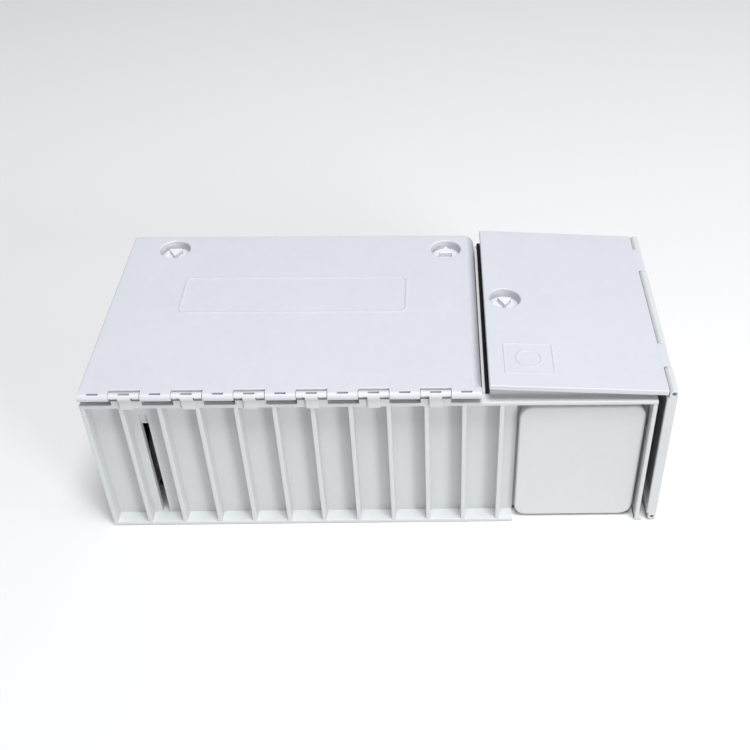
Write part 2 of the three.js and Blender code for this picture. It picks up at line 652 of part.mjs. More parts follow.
const TRAY_COUNT = 3;
const TRAY_HEIGHT = 8.6;
const TRAY_STEP = 9;
const TRAY_X = [CARRIER_X + 7, CARRIER_X + 99];
const TRAY_Y = [FRONT + CARRIER_INSETS[0] + 2.2, FRONT + CARRIER_INSETS[1] - 2.2];
const CARRIER_TOP = CARRIER_Z + 3.7;
const trayBottom = (index) => CARRIER_TOP + GAP + index * TRAY_STEP;
const lidBottom = trayBottom(TRAY_COUNT);

function buildCarrier() {
  const y = [FRONT + CARRIER_INSETS[0], FRONT + CARRIER_INSETS[1]];
  const tip = TRAY_X[1] + 2;
  const plate = [
    block([CARRIER_X + 4.5, tip], y, [CARRIER_TOP - 2, CARRIER_TOP]),
    block([tip - 1.6, tip], y, [CARRIER_TOP - 1, CARRIER_TOP + 5]),
    block([tip - 5, tip - 2], grown(y, -20), [FLOOR + GAP, CARRIER_TOP - 1]),
    block([CARRIER_X + 6, tip], [y[0], y[0] + 1.6], [CARRIER_TOP - 1, CARRIER_TOP + 5]),
    block([CARRIER_X + 6, tip], [y[1] - 1.6, y[1]], [CARRIER_TOP - 1, CARRIER_TOP + 5]),
  ];
  const arms = [[y[0] + GAP, y[0] + 14], [y[1] - 14, y[1] - GAP]].flatMap((span) => [
    bar('y', [CARRIER_X, CARRIER_Z], 3.6, span, 16),
    block([CARRIER_X, CARRIER_X + 6], span, [CARRIER_Z + 0.2, CARRIER_Z + 3.4]),
  ]);
  return cut(join(plate, arms), bar('y', [CARRIER_X, CARRIER_Z], BARREL_BORE, [y[0] - 5, y[1] + 5], 12));
}

function buildTray(bottom) {
  const middle = [(TRAY_X[0] + TRAY_X[1]) / 2, (TRAY_Y[0] + TRAY_Y[1]) / 2];
  const rim = 1.6;
  const shell = cut(
    slab(roundedOutline(TRAY_X, TRAY_Y, 6), [bottom, bottom + TRAY_HEIGHT], 1),
    slab(roundedOutline(grown(TRAY_X, -rim), grown(TRAY_Y, -rim), 6 - rim),
      [bottom + rim, bottom + TRAY_HEIGHT + 1], 1),
  );
  const comb = [-10, -6, -2, 2, 6, 10].map((offset) => {
    const x = middle[0] + offset;
    return block(grown([x, x], 0.8), grown([middle[1], middle[1]], 14),
      [bottom + 1, bottom + TRAY_HEIGHT - 2]);
  });
  const spools = [-34, 34].map((offset) => ring('z', [middle[0], middle[1] + offset], 15, 13.4,
    [bottom + 1, bottom + TRAY_HEIGHT - 1], 12));
  return join(shell, comb, spools);
}

function buildStrap() {
  const inner = { y: [FRONT + CARRIER_INSETS[0] - GAP, FRONT + CARRIER_INSETS[1] + GAP],
    z: [CARRIER_TOP - 2 - GAP, lidBottom + 1.6 + GAP] };
  const x = [TRAY_X[0] + 36, TRAY_X[0] + 52];
  return cut(block(x, grown(inner.y, 1.2), grown(inner.z, 1.2)), block(grown(x, 1), inner.y, inner.z));
}

piece('tray_carrier', buildCarrier(), LABEL_GREY(), carrierBody);
for (let index = 0; index < TRAY_COUNT; index += 1) {
  piece(`splice_tray_${index + 1}`, buildTray(trayBottom(index)), TRAY(), carrierBody);
}
const lidShape = roundedOutline(TRAY_X, TRAY_Y, 6);
piece('tray_lid', slab(lidShape, [lidBottom, lidBottom + 1.6], 1), CAP(), carrierBody);
piece('tray_strap', buildStrap(), STRAP(), carrierBody);
piece('tray_carrier_pin', bar('y', [CARRIER_X, CARRIER_Z], BARREL_PIN,
  [FRONT + CARRIER_INSETS[0] - 3, FRONT + CARRIER_INSETS[1] + 3], 12), STEEL());

// ---------------------------------------------------------------- splitter, spool and cord guides
const SPLITTER = {
  x: [LEFT + 190, LEFT + 252],
  y: [FRONT + 66, FRONT + 156],
  z: [FLOOR + GAP, FLOOR + GAP + 10],
};
piece('splitter_module', join(
  block(SPLITTER.x, SPLITTER.y, SPLITTER.z),
  block(grown(SPLITTER.x, -8), [SPLITTER.y[1] - 1, SPLITTER.y[1] + 3], grown(SPLITTER.z, -2.5)),
), STEEL());

function mushroom(x, y, core, flange, height) {
  const foot = FLOOR + GAP;
  return cut(
    join(
      bar('z', [x, y], flange, [foot, foot + 2], 16),
      bar('z', [x, y], core, [foot + 1, foot + height - 1], 16),
      bar('z', [x, y], flange, [foot + height - 2, foot + height], 16),
    ),
    bar('z', [x, y], core - 2, [foot - 1, foot + height + 1], 12),
  );
}

piece('fibre_spool', mushroom(LEFT + 221, FRONT + 38, 17, 22, 24), LABEL_GREY());
piece('cord_guide_front', mushroom(LEFT + 330, FRONT + 54, 10, 15, 56), LABEL_GREY());
piece('cord_guide_rear', mushroom(LEFT + 330, FRONT + 130, 10, 15, 56), LABEL_GREY());

// ---------------------------------------------------------------- cable entries and clamps
GLAND_INSETS.forEach((inset, index) => {
  const y = FRONT + inset;
  const flangeIn = leftWallX + WALL + GAP;
  const grommet = cut(
    join(
      bar('x', [y, GLAND_Z], GLAND_RADIUS - GAP, [leftWallX - 2, flangeIn + 1], 16),
      bar('x', [y, GLAND_Z], GLAND_RADIUS + 3, [leftWallX - GAP - 2, leftWallX - GAP], 16),
      bar('x', [y, GLAND_Z], GLAND_RADIUS + 2, [flangeIn, flangeIn + 2], 16),
    ),
    bar('x', [y, GLAND_Z], GLAND_RADIUS - 3, [leftWallX - 4, flangeIn + 0.8], 14),
  );
  piece(`cable_grommet_${index + 1}`, grommet, RUBBER());

  const x = [leftWallX + 14, leftWallX + 26];
  const foot = FLOOR + GAP;
  const pillar = GLAND_Z - 11;
  const clamp = cut(
    join(
      block(x, grown([y, y], 11), [foot, GLAND_Z]),
      bar('x', [y, GLAND_Z], 11, x, 16),
      block(x, grown([y, y], 20), [foot, foot + 3]),
    ),
    bar('x', [y, GLAND_Z], 8.5, grown(x, 1), 14),
    block(grown(x, 1), grown([y, y], 7), [foot - 1, pillar]),
    [-16, 16].map((offset) => bar('z', [(x[0] + x[1]) / 2, y + offset], CLAMP_SCREW + 0.6,
      [foot - 1, foot + 4], 8)),
  );
  piece(`cable_clamp_${index + 1}`, clamp, LABEL_GREY());
  [-16, 16].forEach((offset, end) => {
    const at = [(x[0] + x[1]) / 2, y + offset];
    piece(`clamp_screw_${index * 2 + end + 1}`, join(
      bar('z', at, 3, [foot + 3 + GAP, foot + 5.3], 10),
      bar('z', at, CLAMP_SCREW, [foot + GAP, foot + 4], 8),
    ), STEEL());
  });
});

export default box;
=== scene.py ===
import math

import bpy
from mathutils import Matrix, Vector
from mathutils.geometry import tessellate_polygon


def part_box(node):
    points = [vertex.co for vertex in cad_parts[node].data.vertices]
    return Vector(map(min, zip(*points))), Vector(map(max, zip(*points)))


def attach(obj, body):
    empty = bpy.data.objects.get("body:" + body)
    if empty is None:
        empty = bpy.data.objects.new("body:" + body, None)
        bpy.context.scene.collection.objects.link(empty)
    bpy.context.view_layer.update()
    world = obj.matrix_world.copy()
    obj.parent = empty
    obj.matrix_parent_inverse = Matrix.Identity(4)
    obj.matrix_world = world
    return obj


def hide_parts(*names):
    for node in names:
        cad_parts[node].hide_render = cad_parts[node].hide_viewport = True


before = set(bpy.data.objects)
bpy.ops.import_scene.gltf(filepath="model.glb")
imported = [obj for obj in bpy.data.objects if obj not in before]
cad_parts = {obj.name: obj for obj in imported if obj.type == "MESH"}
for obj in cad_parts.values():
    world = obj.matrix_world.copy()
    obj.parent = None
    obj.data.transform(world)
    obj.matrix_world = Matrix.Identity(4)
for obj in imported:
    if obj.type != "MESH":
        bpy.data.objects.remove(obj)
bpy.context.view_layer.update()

# ------------------------------------------------------------------ dimensions, in mm, from the frame
MM = 0.001


def edges(node):
    """A node's lowest and highest corners in mm."""
    return [[value / MM for value in corner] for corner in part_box(node)]


(LEFT, _, _), (_, BACK, COVER_TOP) = edges("base")
RIGHT = edges("end_panel")[1][0]
FRONT = edges("end_panel")[0][1]
(cover_left, hinge_front, skirt_low), (cover_right, cover_back, _) = edges("main_cover")
# The long hinge.
HINGE_R, HINGE_BORE, HINGE_PIN = 3.0, 1.4, 1.1
hinge_y = hinge_front + HINGE_R
hinge_z = COVER_TOP - HINGE_R
KNUCKLES = 13
knuckle_length = (cover_right - cover_left) / KNUCKLES
# The tub: the walls are set in behind the ribs, and a rail and a rim run round the top.
DEPTH = 184.0
RIB, RIB_PITCH, RIB_COUNT = 3.0, 25.0, 12
WALL, FLOOR = 2.5, 3.0
SET_IN, BAY_IN, RIM_IN = 10.0, 13.0, 8
RAIL_TOP, RIM_TOP = 116.5, 120.0
RAIL_LOW = RAIL_TOP - 3.0
GAP = 0.3
# Solids of one mesh that would share a face are kept this far apart.
HAIR = 0.04
left_wall = LEFT + SET_IN
part_x = cover_right + 2.35
PART_W = 3.0
bay_left = LEFT + 287.6
up_left = LEFT + 376.7
up_right = up_left + RIB
# The end panel, the door, and the hinges at the panel's foot and top.
BARREL, BORE, PIN = 2.9, 1.5, 1.2
DOOR_TOP = 125.0
barrel_x = RIGHT - BARREL
barrel_top = DOOR_TOP - BARREL
barrel_low = BARREL + GAP
door_left = cover_right + 4.4
door_right = barrel_x - BARREL - 0.6
AJAR = math.radians(3.0)
# How far in from the front the barrels of those hinges start and stop: on the tub and door, on the panel.
SIDE_HINGED = [(25.4, 49.8), (137.0, 164.8)]
PANEL_HINGED = [(0.0, 25.0), (50.2, 136.6), (165.2, DEPTH)]
# The well's radii outside, inside and at the hole in the plate, and the bore in its floor.
CUP_R, WELL_R, CUP_HOLE, LOCK_BORE = 12.75, 11.25, 12.3, 3.1
# x, y, top, the key triangle's direction, the cam's direction at rest, and the cam's reach.
LOCKS = {
    "left": (LEFT + 34.5, FRONT + 165.8, COVER_TOP, -90, 0, 14.0),
    "right": (LEFT + 241.1, FRONT + 164.5, COVER_TOP, 90, 180, 14.0),
    "door": (LEFT + 282.3, FRONT + 96.0, DOOR_TOP, -90, -90, 12.4),
}


# ------------------------------------------------------------------ mesh building
class Shell:
    """Collects closed solids, in mm, into one mesh."""

    def __init__(self):
        self.verts, self.faces = [], []

    def take(self, verts, faces, matrix=None):
        start = len(self.verts)
        points = [Vector(v) for v in verts]
        if matrix is not None:
            points = [matrix @ p for p in points]
        self.verts += points
        volume = 0.0
        for face in faces:
            a = points[face[0]]
            for i in range(1, len(face) - 1):
                volume += a.dot(points[face[i]].cross(points[face[i + 1]]))
        outward = [tuple(reversed(f)) for f in faces] if volume < 0 else faces
        self.faces += [tuple(start + i for i in f) for f in outward]


PLANES = {
    "z": lambda u, v, w: (u, v, w),
    "y": lambda u, v, w: (u, w, v),
    "x": lambda u, v, w: (w, u, v),
}


def area(loop):
    return 0.5 * sum(
        a[0] * b[1] - b[0] * a[1] for a, b in zip(loop, loop[1:] + loop[:1])
    )


def inset(loop, amount):
    """The loop moved to its left by amount, with mitred corners."""
    if not amount:
        return list(loop)
    out = []
    count = len(loop)
    for i in range(count):
        p, q, r = (Vector(loop[(i + k) % count]) for k in (-1, 0, 1))
        d1, d2 = (q - p).normalized(), (r - q).normalized()
        n1, n2 = Vector((-d1.y, d1.x)), Vector((-d2.y, d2.x))
        step = (n1 + n2) / max(0.25, 1 + n1.dot(n2))
        out.append(tuple(q + step * amount))
    return out


def solid(shell, axis, loops, span, bevel=0.35, ends=(1, 1), steps=3, matrix=None):
    """A flat outline with holes, pushed along an axis, with rounded edges at both ends.

    loops[0] is the outside, the rest are holes. bevel is one radius or one for each loop.
    """
    low, high = min(span), max(span)
    radii = list(bevel) if isinstance(bevel, (list, tuple)) else [bevel] * len(loops)
    loops = [
        list(loop) if (area(loop) > 0) == (i == 0) else list(reversed(loop))
        for i, loop in enumerate(loops)
    ]
    depth = min(max(radii), (high - low) / 2.05)
    layers = []
    for end, (base, way) in zip(ends, ((low, 1), (high, -1))):
        rows = []
        if end and depth > 0:
            for k in range(steps + 1):
                turn = k / steps * math.pi / 2
                rows.append((base + way * depth * (1 - math.cos(turn)), 1 - math.sin(turn)))
        else:
            rows.append((base, 0.0))
        layers += rows if way == 1 else rows[::-1]
    put = PLANES[axis]
    verts, faces = [], []
    rings = []
    for w, share in layers:
        row = []
        for loop, radius in zip(loops, radii):
            points = inset(loop, min(radius, depth) * share)
            row.append((len(verts), points))
            verts += [put(u, v, w) for u, v in points]
        rings.append(row)
    for lower, upper in zip(rings, rings[1:]):
        for (a, points), (b, _) in zip(lower, upper):
            count = len(points)
            for i in range(count):
                j = (i + 1) % count
                faces.append((a + i, a + j, b + j, b + i))
    for row in (rings[0], rings[-1]):
        index = [start + i for start, points in row for i in range(len(points))]
        flat = [[Vector((u, v, 0)) for u, v in points] for _, points in row]
        for tri in tessellate_polygon(flat):
            corners = tuple(index[i] for i in tri)
            if len(set(corners)) == 3:
                faces.append(corners)
    shell.take(verts, orient(faces), matrix)


def orient(faces):
    """Turns faces so that neighbours agree, starting from the first."""
    by_edge = {}
    for n, face in enumerate(faces):
        for a, b in zip(face, face[1:] + face[:1]):
            by_edge.setdefault((min(a, b), max(a, b)), []).append(n)
    out = [None] * len(faces)
    for first in range(len(faces)):
        if out[first] is not None:
            continue
        out[first] = faces[first]
        queue = [first]
        while queue:
            n = queue.pop()
            face = out[n]
            for a, b in zip(face, face[1:] + face[:1]):
                for m in by_edge[(min(a, b), max(a, b))]:
                    if out[m] is None:
                        other = faces[m]
                        same = (a, b) in set(zip(other, other[1:] + other[:1]))
                        out[m] = tuple(reversed(other)) if same else other
                        queue.append(m)
    return out


def rect(u, v, radius=0.0, steps=3):
    (a, b), (c, d) = (min(u), max(u)), (min(v), max(v))
    if radius <= 0:
        return [(a, c), (b, c), (b, d), (a, d)]
    points = []
    for cu, cv, start in ((b - radius, c + radius, -90), (b - radius, d - radius, 0),
                          (a + radius, d - radius, 90), (a + radius, c + radius, 180)):
        for k in range(steps + 1):
            turn = math.radians(start + 90 * k / steps)
            points.append((cu + radius * math.cos(turn), cv + radius * math.sin(turn)))
    return points


def circle(u, v, radius, steps=32):
    return [(u + radius * math.cos(2 * math.pi * k / steps),
             v + radius * math.sin(2 * math.pi * k / steps)) for k in range(steps)]


def block(shell, x, y, z, bevel=0.35):
    """A box with rounded edges all round."""
    size = min(abs(side[1] - side[0]) for side in (x, y, z))
    bevel = min(bevel, size * 0.45)
    solid(shell, "z", [rect(x, y, bevel, 2)], z, bevel, steps=2)


def turned(shell, at, profile, steps=48, axis="z"):
    """A closed (radius, height) profile turned round an axis through `at`."""
    verts, faces = [], []
    put = PLANES[axis]
    count = len(profile)
    for k in range(steps):
        turn = 2 * math.pi * k / steps
        for r, h in profile:
            verts.append(put(at[0] + r * math.cos(turn), at[1] + r * math.sin(turn), h))
    for k in range(steps):
        m = (k + 1) % steps
        for i in range(count):
            j = (i + 1) % count
            faces.append((k * count + i, m * count + i, m * count + j, k * count + j))
    shell.take(verts, orient(faces))


def grown(pair, by):
    """A low and high value moved apart by the same amount."""
    return (min(pair) - by, max(pair) + by)


def arc(cu, cv, radius, start, end, steps=6):
    """Points along part of a circle, between two angles in degrees."""
    return [(cu + radius * math.cos(math.radians(start + (end - start) * k / steps)),
             cv + radius * math.sin(math.radians(start + (end - start) * k / steps)))
            for k in range(steps + 1)]


# Edges that turn by less than this many degrees are shaded smooth.
SMOOTH = 38.0


def make(name, shell, body, replaced, material, matrix=None):
    """Turns a shell into a shaded object that rides on a body and stands for CAD nodes."""
    mesh = bpy.data.meshes.new(name)
    points = [matrix @ v if matrix is not None else v for v in shell.verts]
    mesh.from_pydata([tuple(p * MM) for p in points], [], shell.faces)
    mesh.validate()
    mesh.shade_smooth()
    mesh.set_sharp_from_angle(angle=math.radians(SMOOTH))
    piece = bpy.data.objects.new(name, mesh)
    bpy.context.scene.collection.objects.link(piece)
    mesh.materials.append(material)
    weighted = piece.modifiers.new("weighted_normal", "WEIGHTED_NORMAL")
    weighted.keep_sharp = True
    weighted.weight = 80
    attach(piece, body)
    if replaced:
        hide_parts(*replaced)
    return piece


# ------------------------------------------------------------------ materials
def plastic(name, color, rough=0.5, tone=0.03, grain=0.02, wear=0.08,
            metallic=0.0, stretch=(1, 1, 1), fine=1400.0, alpha=None):
    """Moulded plastic, or brushed metal where stretch draws the grain out along one axis."""
    material = bpy.data.materials.new(name)
    material.use_nodes = True
    tree = material.node_tree
    node, link = tree.nodes.new, tree.links.new
    shader = tree.nodes["Principled BSDF"]
    shader.inputs["Metallic"].default_value = metallic
    if alpha is not None:
        shader.inputs["Alpha"].default_value = alpha
    where = node("ShaderNodeTexCoord")
    scaled = node("ShaderNodeMapping")
    scaled.inputs["Scale"].default_value = stretch
    link(where.outputs["Object"], scaled.inputs["Vector"])

    def noise(scale, detail, source):
        made = node("ShaderNodeTexNoise")
        made.inputs["Scale"].default_value = scale
        made.inputs["Detail"].default_value = detail
        made.inputs["Roughness"].default_value = 0.6
        link(source, made.inputs["Vector"])
        return made.outputs["Fac"]

    def spread(value, low, high):
        made = node("ShaderNodeMapRange")
        made.inputs["From Min"].default_value = 0.3
        made.inputs["From Max"].default_value = 0.7
        made.inputs["To Min"].default_value = low
        made.inputs["To Max"].default_value = high
        link(value, made.inputs["Value"])
        return made.outputs["Result"]

    cloud = noise(14.0, 3.0, where.outputs["Object"])
    speck = noise(fine, 2.0, scaled.outputs["Vector"])
    mottle = noise(160.0, 4.0, scaled.outputs["Vector"])
    darker = tuple(c * (1 - tone) for c in color)
    lighter = tuple(min(1.0, c * (1 + tone * 0.6)) for c in color)
    base = node("ShaderNodeMix")
    base.data_type = "RGBA"
    base.inputs["A"].default_value = (*darker, 1)
    base.inputs["B"].default_value = (*lighter, 1)
    link(spread(cloud, 0.0, 1.0), base.inputs["Factor"])
    mottled = node("ShaderNodeMix")
    mottled.data_type = "RGBA"
    mottled.blend_type = "MULTIPLY"
    mottled.inputs["Factor"].default_value = 1.0
    link(base.outputs["Result"], mottled.inputs["A"])
    flecks = node("ShaderNodeMath")
    flecks.operation = "MULTIPLY"
    link(spread(speck, 1 - grain, 1.0), flecks.inputs[0])
    link(spread(mottle, 1 - grain * 0.6, 1.0), flecks.inputs[1])
    link(flecks.outputs["Value"], mottled.inputs["B"])
    shape = node("ShaderNodeNewGeometry")
    worn = node("ShaderNodeMapRange")
    worn.inputs["From Min"].default_value = 0.51
    worn.inputs["From Max"].default_value = 0.60
    worn.inputs["To Max"].default_value = wear
    link(shape.outputs["Pointiness"], worn.inputs["Value"])
    patchy = node("ShaderNodeMath")
    patchy.operation = "MULTIPLY"
    link(worn.outputs["Result"], patchy.inputs[0])
    link(spread(mottle, 0.4, 1.0), patchy.inputs[1])
    edge = node("ShaderNodeMix")
    edge.data_type = "RGBA"
    edge.inputs["B"].default_value = (*(min(1.0, c * 1.15 + 0.05) for c in color), 1)
    link(patchy.outputs["Value"], edge.inputs["Factor"])
    link(mottled.outputs["Result"], edge.inputs["A"])
    link(edge.outputs["Result"], shader.inputs["Base Color"])
    link(spread(mottle, rough - 0.06, rough + 0.06), shader.inputs["Roughness"])
    swell = noise(26.0, 2.0, where.outputs["Object"])
    heights = node("ShaderNodeMath")
    heights.operation = "MULTIPLY_ADD"
    link(swell, heights.inputs[0])
    heights.inputs[1].default_value = 0.8
    link(speck, heights.inputs[2])
    bump = node("ShaderNodeBump")
    bump.inputs["Strength"].default_value = 0.25
    bump.inputs["Distance"].default_value = 0.00008
    link(heights.outputs["Value"], bump.inputs["Height"])
    link(bump.outputs["Normal"], shader.inputs["Normal"])
    return material


SHELL = plastic("moulded_shell", (0.615, 0.632, 0.640), 0.52, tone=0.02, grain=0.02)
LID = plastic("moulded_lid", (0.600, 0.612, 0.655), 0.46, tone=0.018, grain=0.016)
INSERT = plastic("lock_insert", (0.74, 0.75, 0.78), 0.40, tone=0.03)
# The steel's colour is painted far darker than plated steel's own, as painted shade for the pins seen through
# the knuckle slots.
STEEL_DARKENED_AS_SHADE = plastic("plated_steel", (0.22, 0.225, 0.235), 0.42, tone=0.08, grain=0.06, metallic=1.0,
                stretch=(0.15, 1, 1), wear=0.3)
# Near black, darker than real foam: the seal strip is a real part, and its colour is also painted shade for
# the deep gap beside the partition.
FOAM_WITH_GAP_SHADE = plastic("seal_foam", (0.004, 0.004, 0.005), 0.97, tone=0.2, grain=0.3, fine=900.0, wear=0.0)
RUBBER = plastic("grommet_rubber", (0.02, 0.02, 0.022), 0.75, tone=0.15, grain=0.1)
TRAY = plastic("tray_moulding", (0.022, 0.024, 0.028), 0.42, tone=0.1, grain=0.06)
GREEN = plastic("adapter_green", (0.02, 0.27, 0.09), 0.32, tone=0.06, grain=0.03)
CAP = plastic("cap_moulding", (0.62, 0.68, 0.74), 0.35, tone=0.04)
INNER = plastic("inner_moulding", (0.58, 0.61, 0.64), 0.5, tone=0.03)
CLEAR = plastic("tray_lid_clear", (0.72, 0.78, 0.82), 0.18, tone=0.02, grain=0.01, alpha=0.38)
STRAP = plastic("woven_strap", (0.016, 0.017, 0.022), 0.95, tone=0.3, grain=0.5, fine=700.0, wear=0.02)
ALLOY = plastic("module_alloy", (0.62, 0.63, 0.65), 0.38, tone=0.06, grain=0.08, metallic=1.0,
                stretch=(1, 0.1, 1))


# ------------------------------------------------------------------ the ribbed tub
# The short slot in each knuckle: half its length, half its width, and how far it lies before the axis.
MARK_HALF, SLOT_HALF, SLOT_LEAN = 3.65, 0.75, 0.62
# The web under each knuckle of the tub, and how far the window beside it reaches above the axis.
WEB_HALF, WEB_PROUD, WINDOW_ABOVE = 4.15, 1.6, 1.0
FOOT_TOP = 120.2
plate_front = hinge_y + HINGE_R + 0.5
# The fibre slot, its blind upper end, and the collar behind it.
SLOT_X, SLOT_Z = (LEFT + 33.3, LEFT + 38.7), (FLOOR - HAIR, 89.6)
SLOT_HEAD_TOP, SLOT_HEAD_DEPTH = 99.0, 2.2
COLLAR_RIM, COLLAR_DEPTH = 2, 2.5
# The walls' height, the port's outline, and how much smaller its window is on each side.
UPRIGHT = (0.0, RAIL_LOW + 0.02)
port_x, PORT_Z = (bay_left + 1.4, up_left - 2.4), (1.5, 107.0)
WINDOW_IN = 7.0
GLANDS, GLAND_Z, GLAND_R = (52.0, 132.0), 38.0, 12.7
# The tray carrier's two ends, in from the front, and its axis.
CARRIER = (30.0, 146.0)
carrier_x, CARRIER_Z = LEFT + 78.0, 9.5


def from_front(inset_by):
    return FRONT + inset_by


def from_back(inset_by):
    return BACK - inset_by


def cam_levels(lock):
    """The levels of a lock well's floor, of its underside, and of the cam's upper face."""
    floor_top = lock[2] - 7.4
    floor_low = floor_top - 2.0
    return floor_top, floor_low, floor_low - 7.6


def cam_hole(lock):
    """The hole in the rear wall that a cam swings through."""
    x, _, _, _, rest, _ = lock
    swing = 1 if rest == 0 else -1
    cam_top = cam_levels(lock)[2]
    return rect((x - swing * 6, x + swing * 14), (cam_top - 4.5, cam_top + 2), 0.6)


def wall_panels(shell, y, rear):
    """The ribbed panel, the rail along its top, and the deeper bay round the port window."""
    holes = [rect(SLOT_X, (SLOT_Z[0], SLOT_HEAD_TOP))]
    if rear:
        holes += [cam_hole(LOCKS[name]) for name in ("left", "right")]
    solid(shell, "y", [rect((LEFT, bay_left), UPRIGHT), *holes], (y(SET_IN), y(SET_IN + WALL)),
          [0.0] + [0.35] * len(holes))
    outer, inner, bay_inner = y(0), y(SET_IN + WALL), y(BAY_IN + WALL)
    rail = [(LEFT, outer), (up_right, outer), (up_right, bay_inner),
            (bay_left, bay_inner), (bay_left, inner), (LEFT, inner)]
    solid(shell, "z", [rail], (RAIL_LOW, RAIL_TOP), 0.5)
    step_y = (y(SET_IN + HAIR), y(BAY_IN + WALL - HAIR))
    block(shell, (bay_left - WALL, bay_left - HAIR), step_y, UPRIGHT, 0.3)
    window = rect(grown(port_x, -WINDOW_IN), grown(PORT_Z, -WINDOW_IN), 6, 6)
    solid(shell, "y", [rect((bay_left - WALL + 0.1, up_right - 0.1), UPRIGHT), window],
          (y(BAY_IN), y(BAY_IN + WALL)), [0.0, 0.5])
    block(shell, (up_left, up_right - HAIR), (y(HAIR), y(BAY_IN + WALL - HAIR)), UPRIGHT, 0.5)


def wall_ribs(shell, y):
    for k in range(RIB_COUNT):
        x = LEFT + RIB / 2 + k * RIB_PITCH
        block(shell, grown((x, x), RIB / 2 - HAIR), (y(HAIR), y(SET_IN + 1)), (FLOOR - 1, RAIL_LOW + 1), 0.45)


def wall_rim(shell, y, rear):
    """The low rim on the rail, broken at the lock cups and at the partition."""
    rim_y, rim_z = (y(RIM_IN), y(RIM_IN + WALL)), (RAIL_TOP - 0.5, RIM_TOP)
    cups = sorted(LOCKS[name][0] for name in ("left", "right")) if rear else []
    breaks = [(x - CUP_R - 2, x + CUP_R + 2) for x in cups]
    breaks += [(cover_right - 3.1, part_x + PART_W + 0.1), (up_right, up_right)]
    start = left_wall - WALL
    for low, high in breaks:
        block(shell, (start, low), rim_y, rim_z, 0.5)
        start = high


def slot_collar(shell, y, rear):
    """The collar behind the fibre slot, and the web that closes the slot's upper end."""
    collar = [rect(grown(SLOT_X, COLLAR_RIM), grown(SLOT_Z, COLLAR_RIM), 0.8), rect(SLOT_X, SLOT_Z)]
    collar_y = (y(SET_IN + WALL - 0.5), y(SET_IN + WALL + COLLAR_DEPTH))
    solid(shell, "y", collar, collar_y, 0.3, ends=(1, 0) if rear else (0, 1))
    web_y = (y(SET_IN + SLOT_HEAD_DEPTH), y(SET_IN + WALL - HAIR))
    block(shell, grown(SLOT_X, 0.3), web_y, (SLOT_Z[1], SLOT_HEAD_TOP + 0.3), 0.1)


def end_wall(shell):
    """The left end: its panel with two cable entries, its rail, rim and ribs."""
    glands = [circle(FRONT + inset_by, GLAND_Z, GLAND_R, 32) for inset_by in GLANDS]
    solid(shell, "x", [rect((FRONT + SET_IN + 1, BACK - SET_IN - 1), UPRIGHT), *glands],
          (left_wall, left_wall + WALL), [0.0, 0.3, 0.3])
    rail_z = (RAIL_LOW + HAIR, RAIL_TOP - HAIR)
    block(shell, (LEFT + HAIR, left_wall + WALL), (FRONT + HAIR, BACK - HAIR), rail_z, 0.5)
    block(shell, (left_wall - WALL + HAIR, left_wall - HAIR), (FRONT + RIM_IN + HAIR, BACK - RIM_IN - HAIR),
          (RAIL_TOP - 0.5, RIM_TOP - HAIR), 0.5)
    for share in (0.11, 0.5, 0.89):
        y = FRONT + DEPTH * share
        block(shell, (LEFT + HAIR, left_wall + 1), grown((y, y), RIB / 2), (FLOOR - 1, RAIL_LOW + 1), 0.45)


def partition(shell):
    """The wall between the compartments, with a ledge beside the seal and the door lock's strike."""
    inner = (FRONT + SET_IN + WALL - 0.5, BACK - SET_IN - WALL + 0.5)
    field = rect((FRONT + 44, FRONT + 140), (18, 92), 2)
    solid(shell, "x", [rect(inner, (FLOOR - 0.5, RAIL_TOP - HAIR)), field], (part_x, part_x + PART_W), 0.35)
    ledge_y = (FRONT + RIM_IN + 0.2, BACK - RIM_IN - 0.2)
    block(shell, (cover_right + 0.5, part_x + 0.2 - HAIR), ledge_y, (RAIL_TOP - 0.5, RIM_TOP - 0.6), 0.3)
    door_lock = LOCKS["door"]
    strike_top = cam_levels(door_lock)[2] + 3
    block(shell, (part_x + PART_W - 0.5, part_x + PART_W + 6.5), grown((door_lock[1],) * 2, 11),
          (strike_top - 2.6, strike_top), 0.4)


def carrier_lugs(shell):
    """The two lugs on the floor that hold the tray carrier's pin."""
    radius = 4
    lug = [(carrier_x - radius, FLOOR - 0.5), (carrier_x + radius, FLOOR - 0.5)]
    lug += arc(carrier_x, CARRIER_Z, radius, 0, 180, 16)
    for edge, way in zip(CARRIER, (-1, 1)):
        span = sorted(FRONT + edge + way * step for step in (0.3, 3.6))
        solid(shell, "y", [lug, circle(carrier_x, CARRIER_Z, BORE, 16)], span, 0.3)


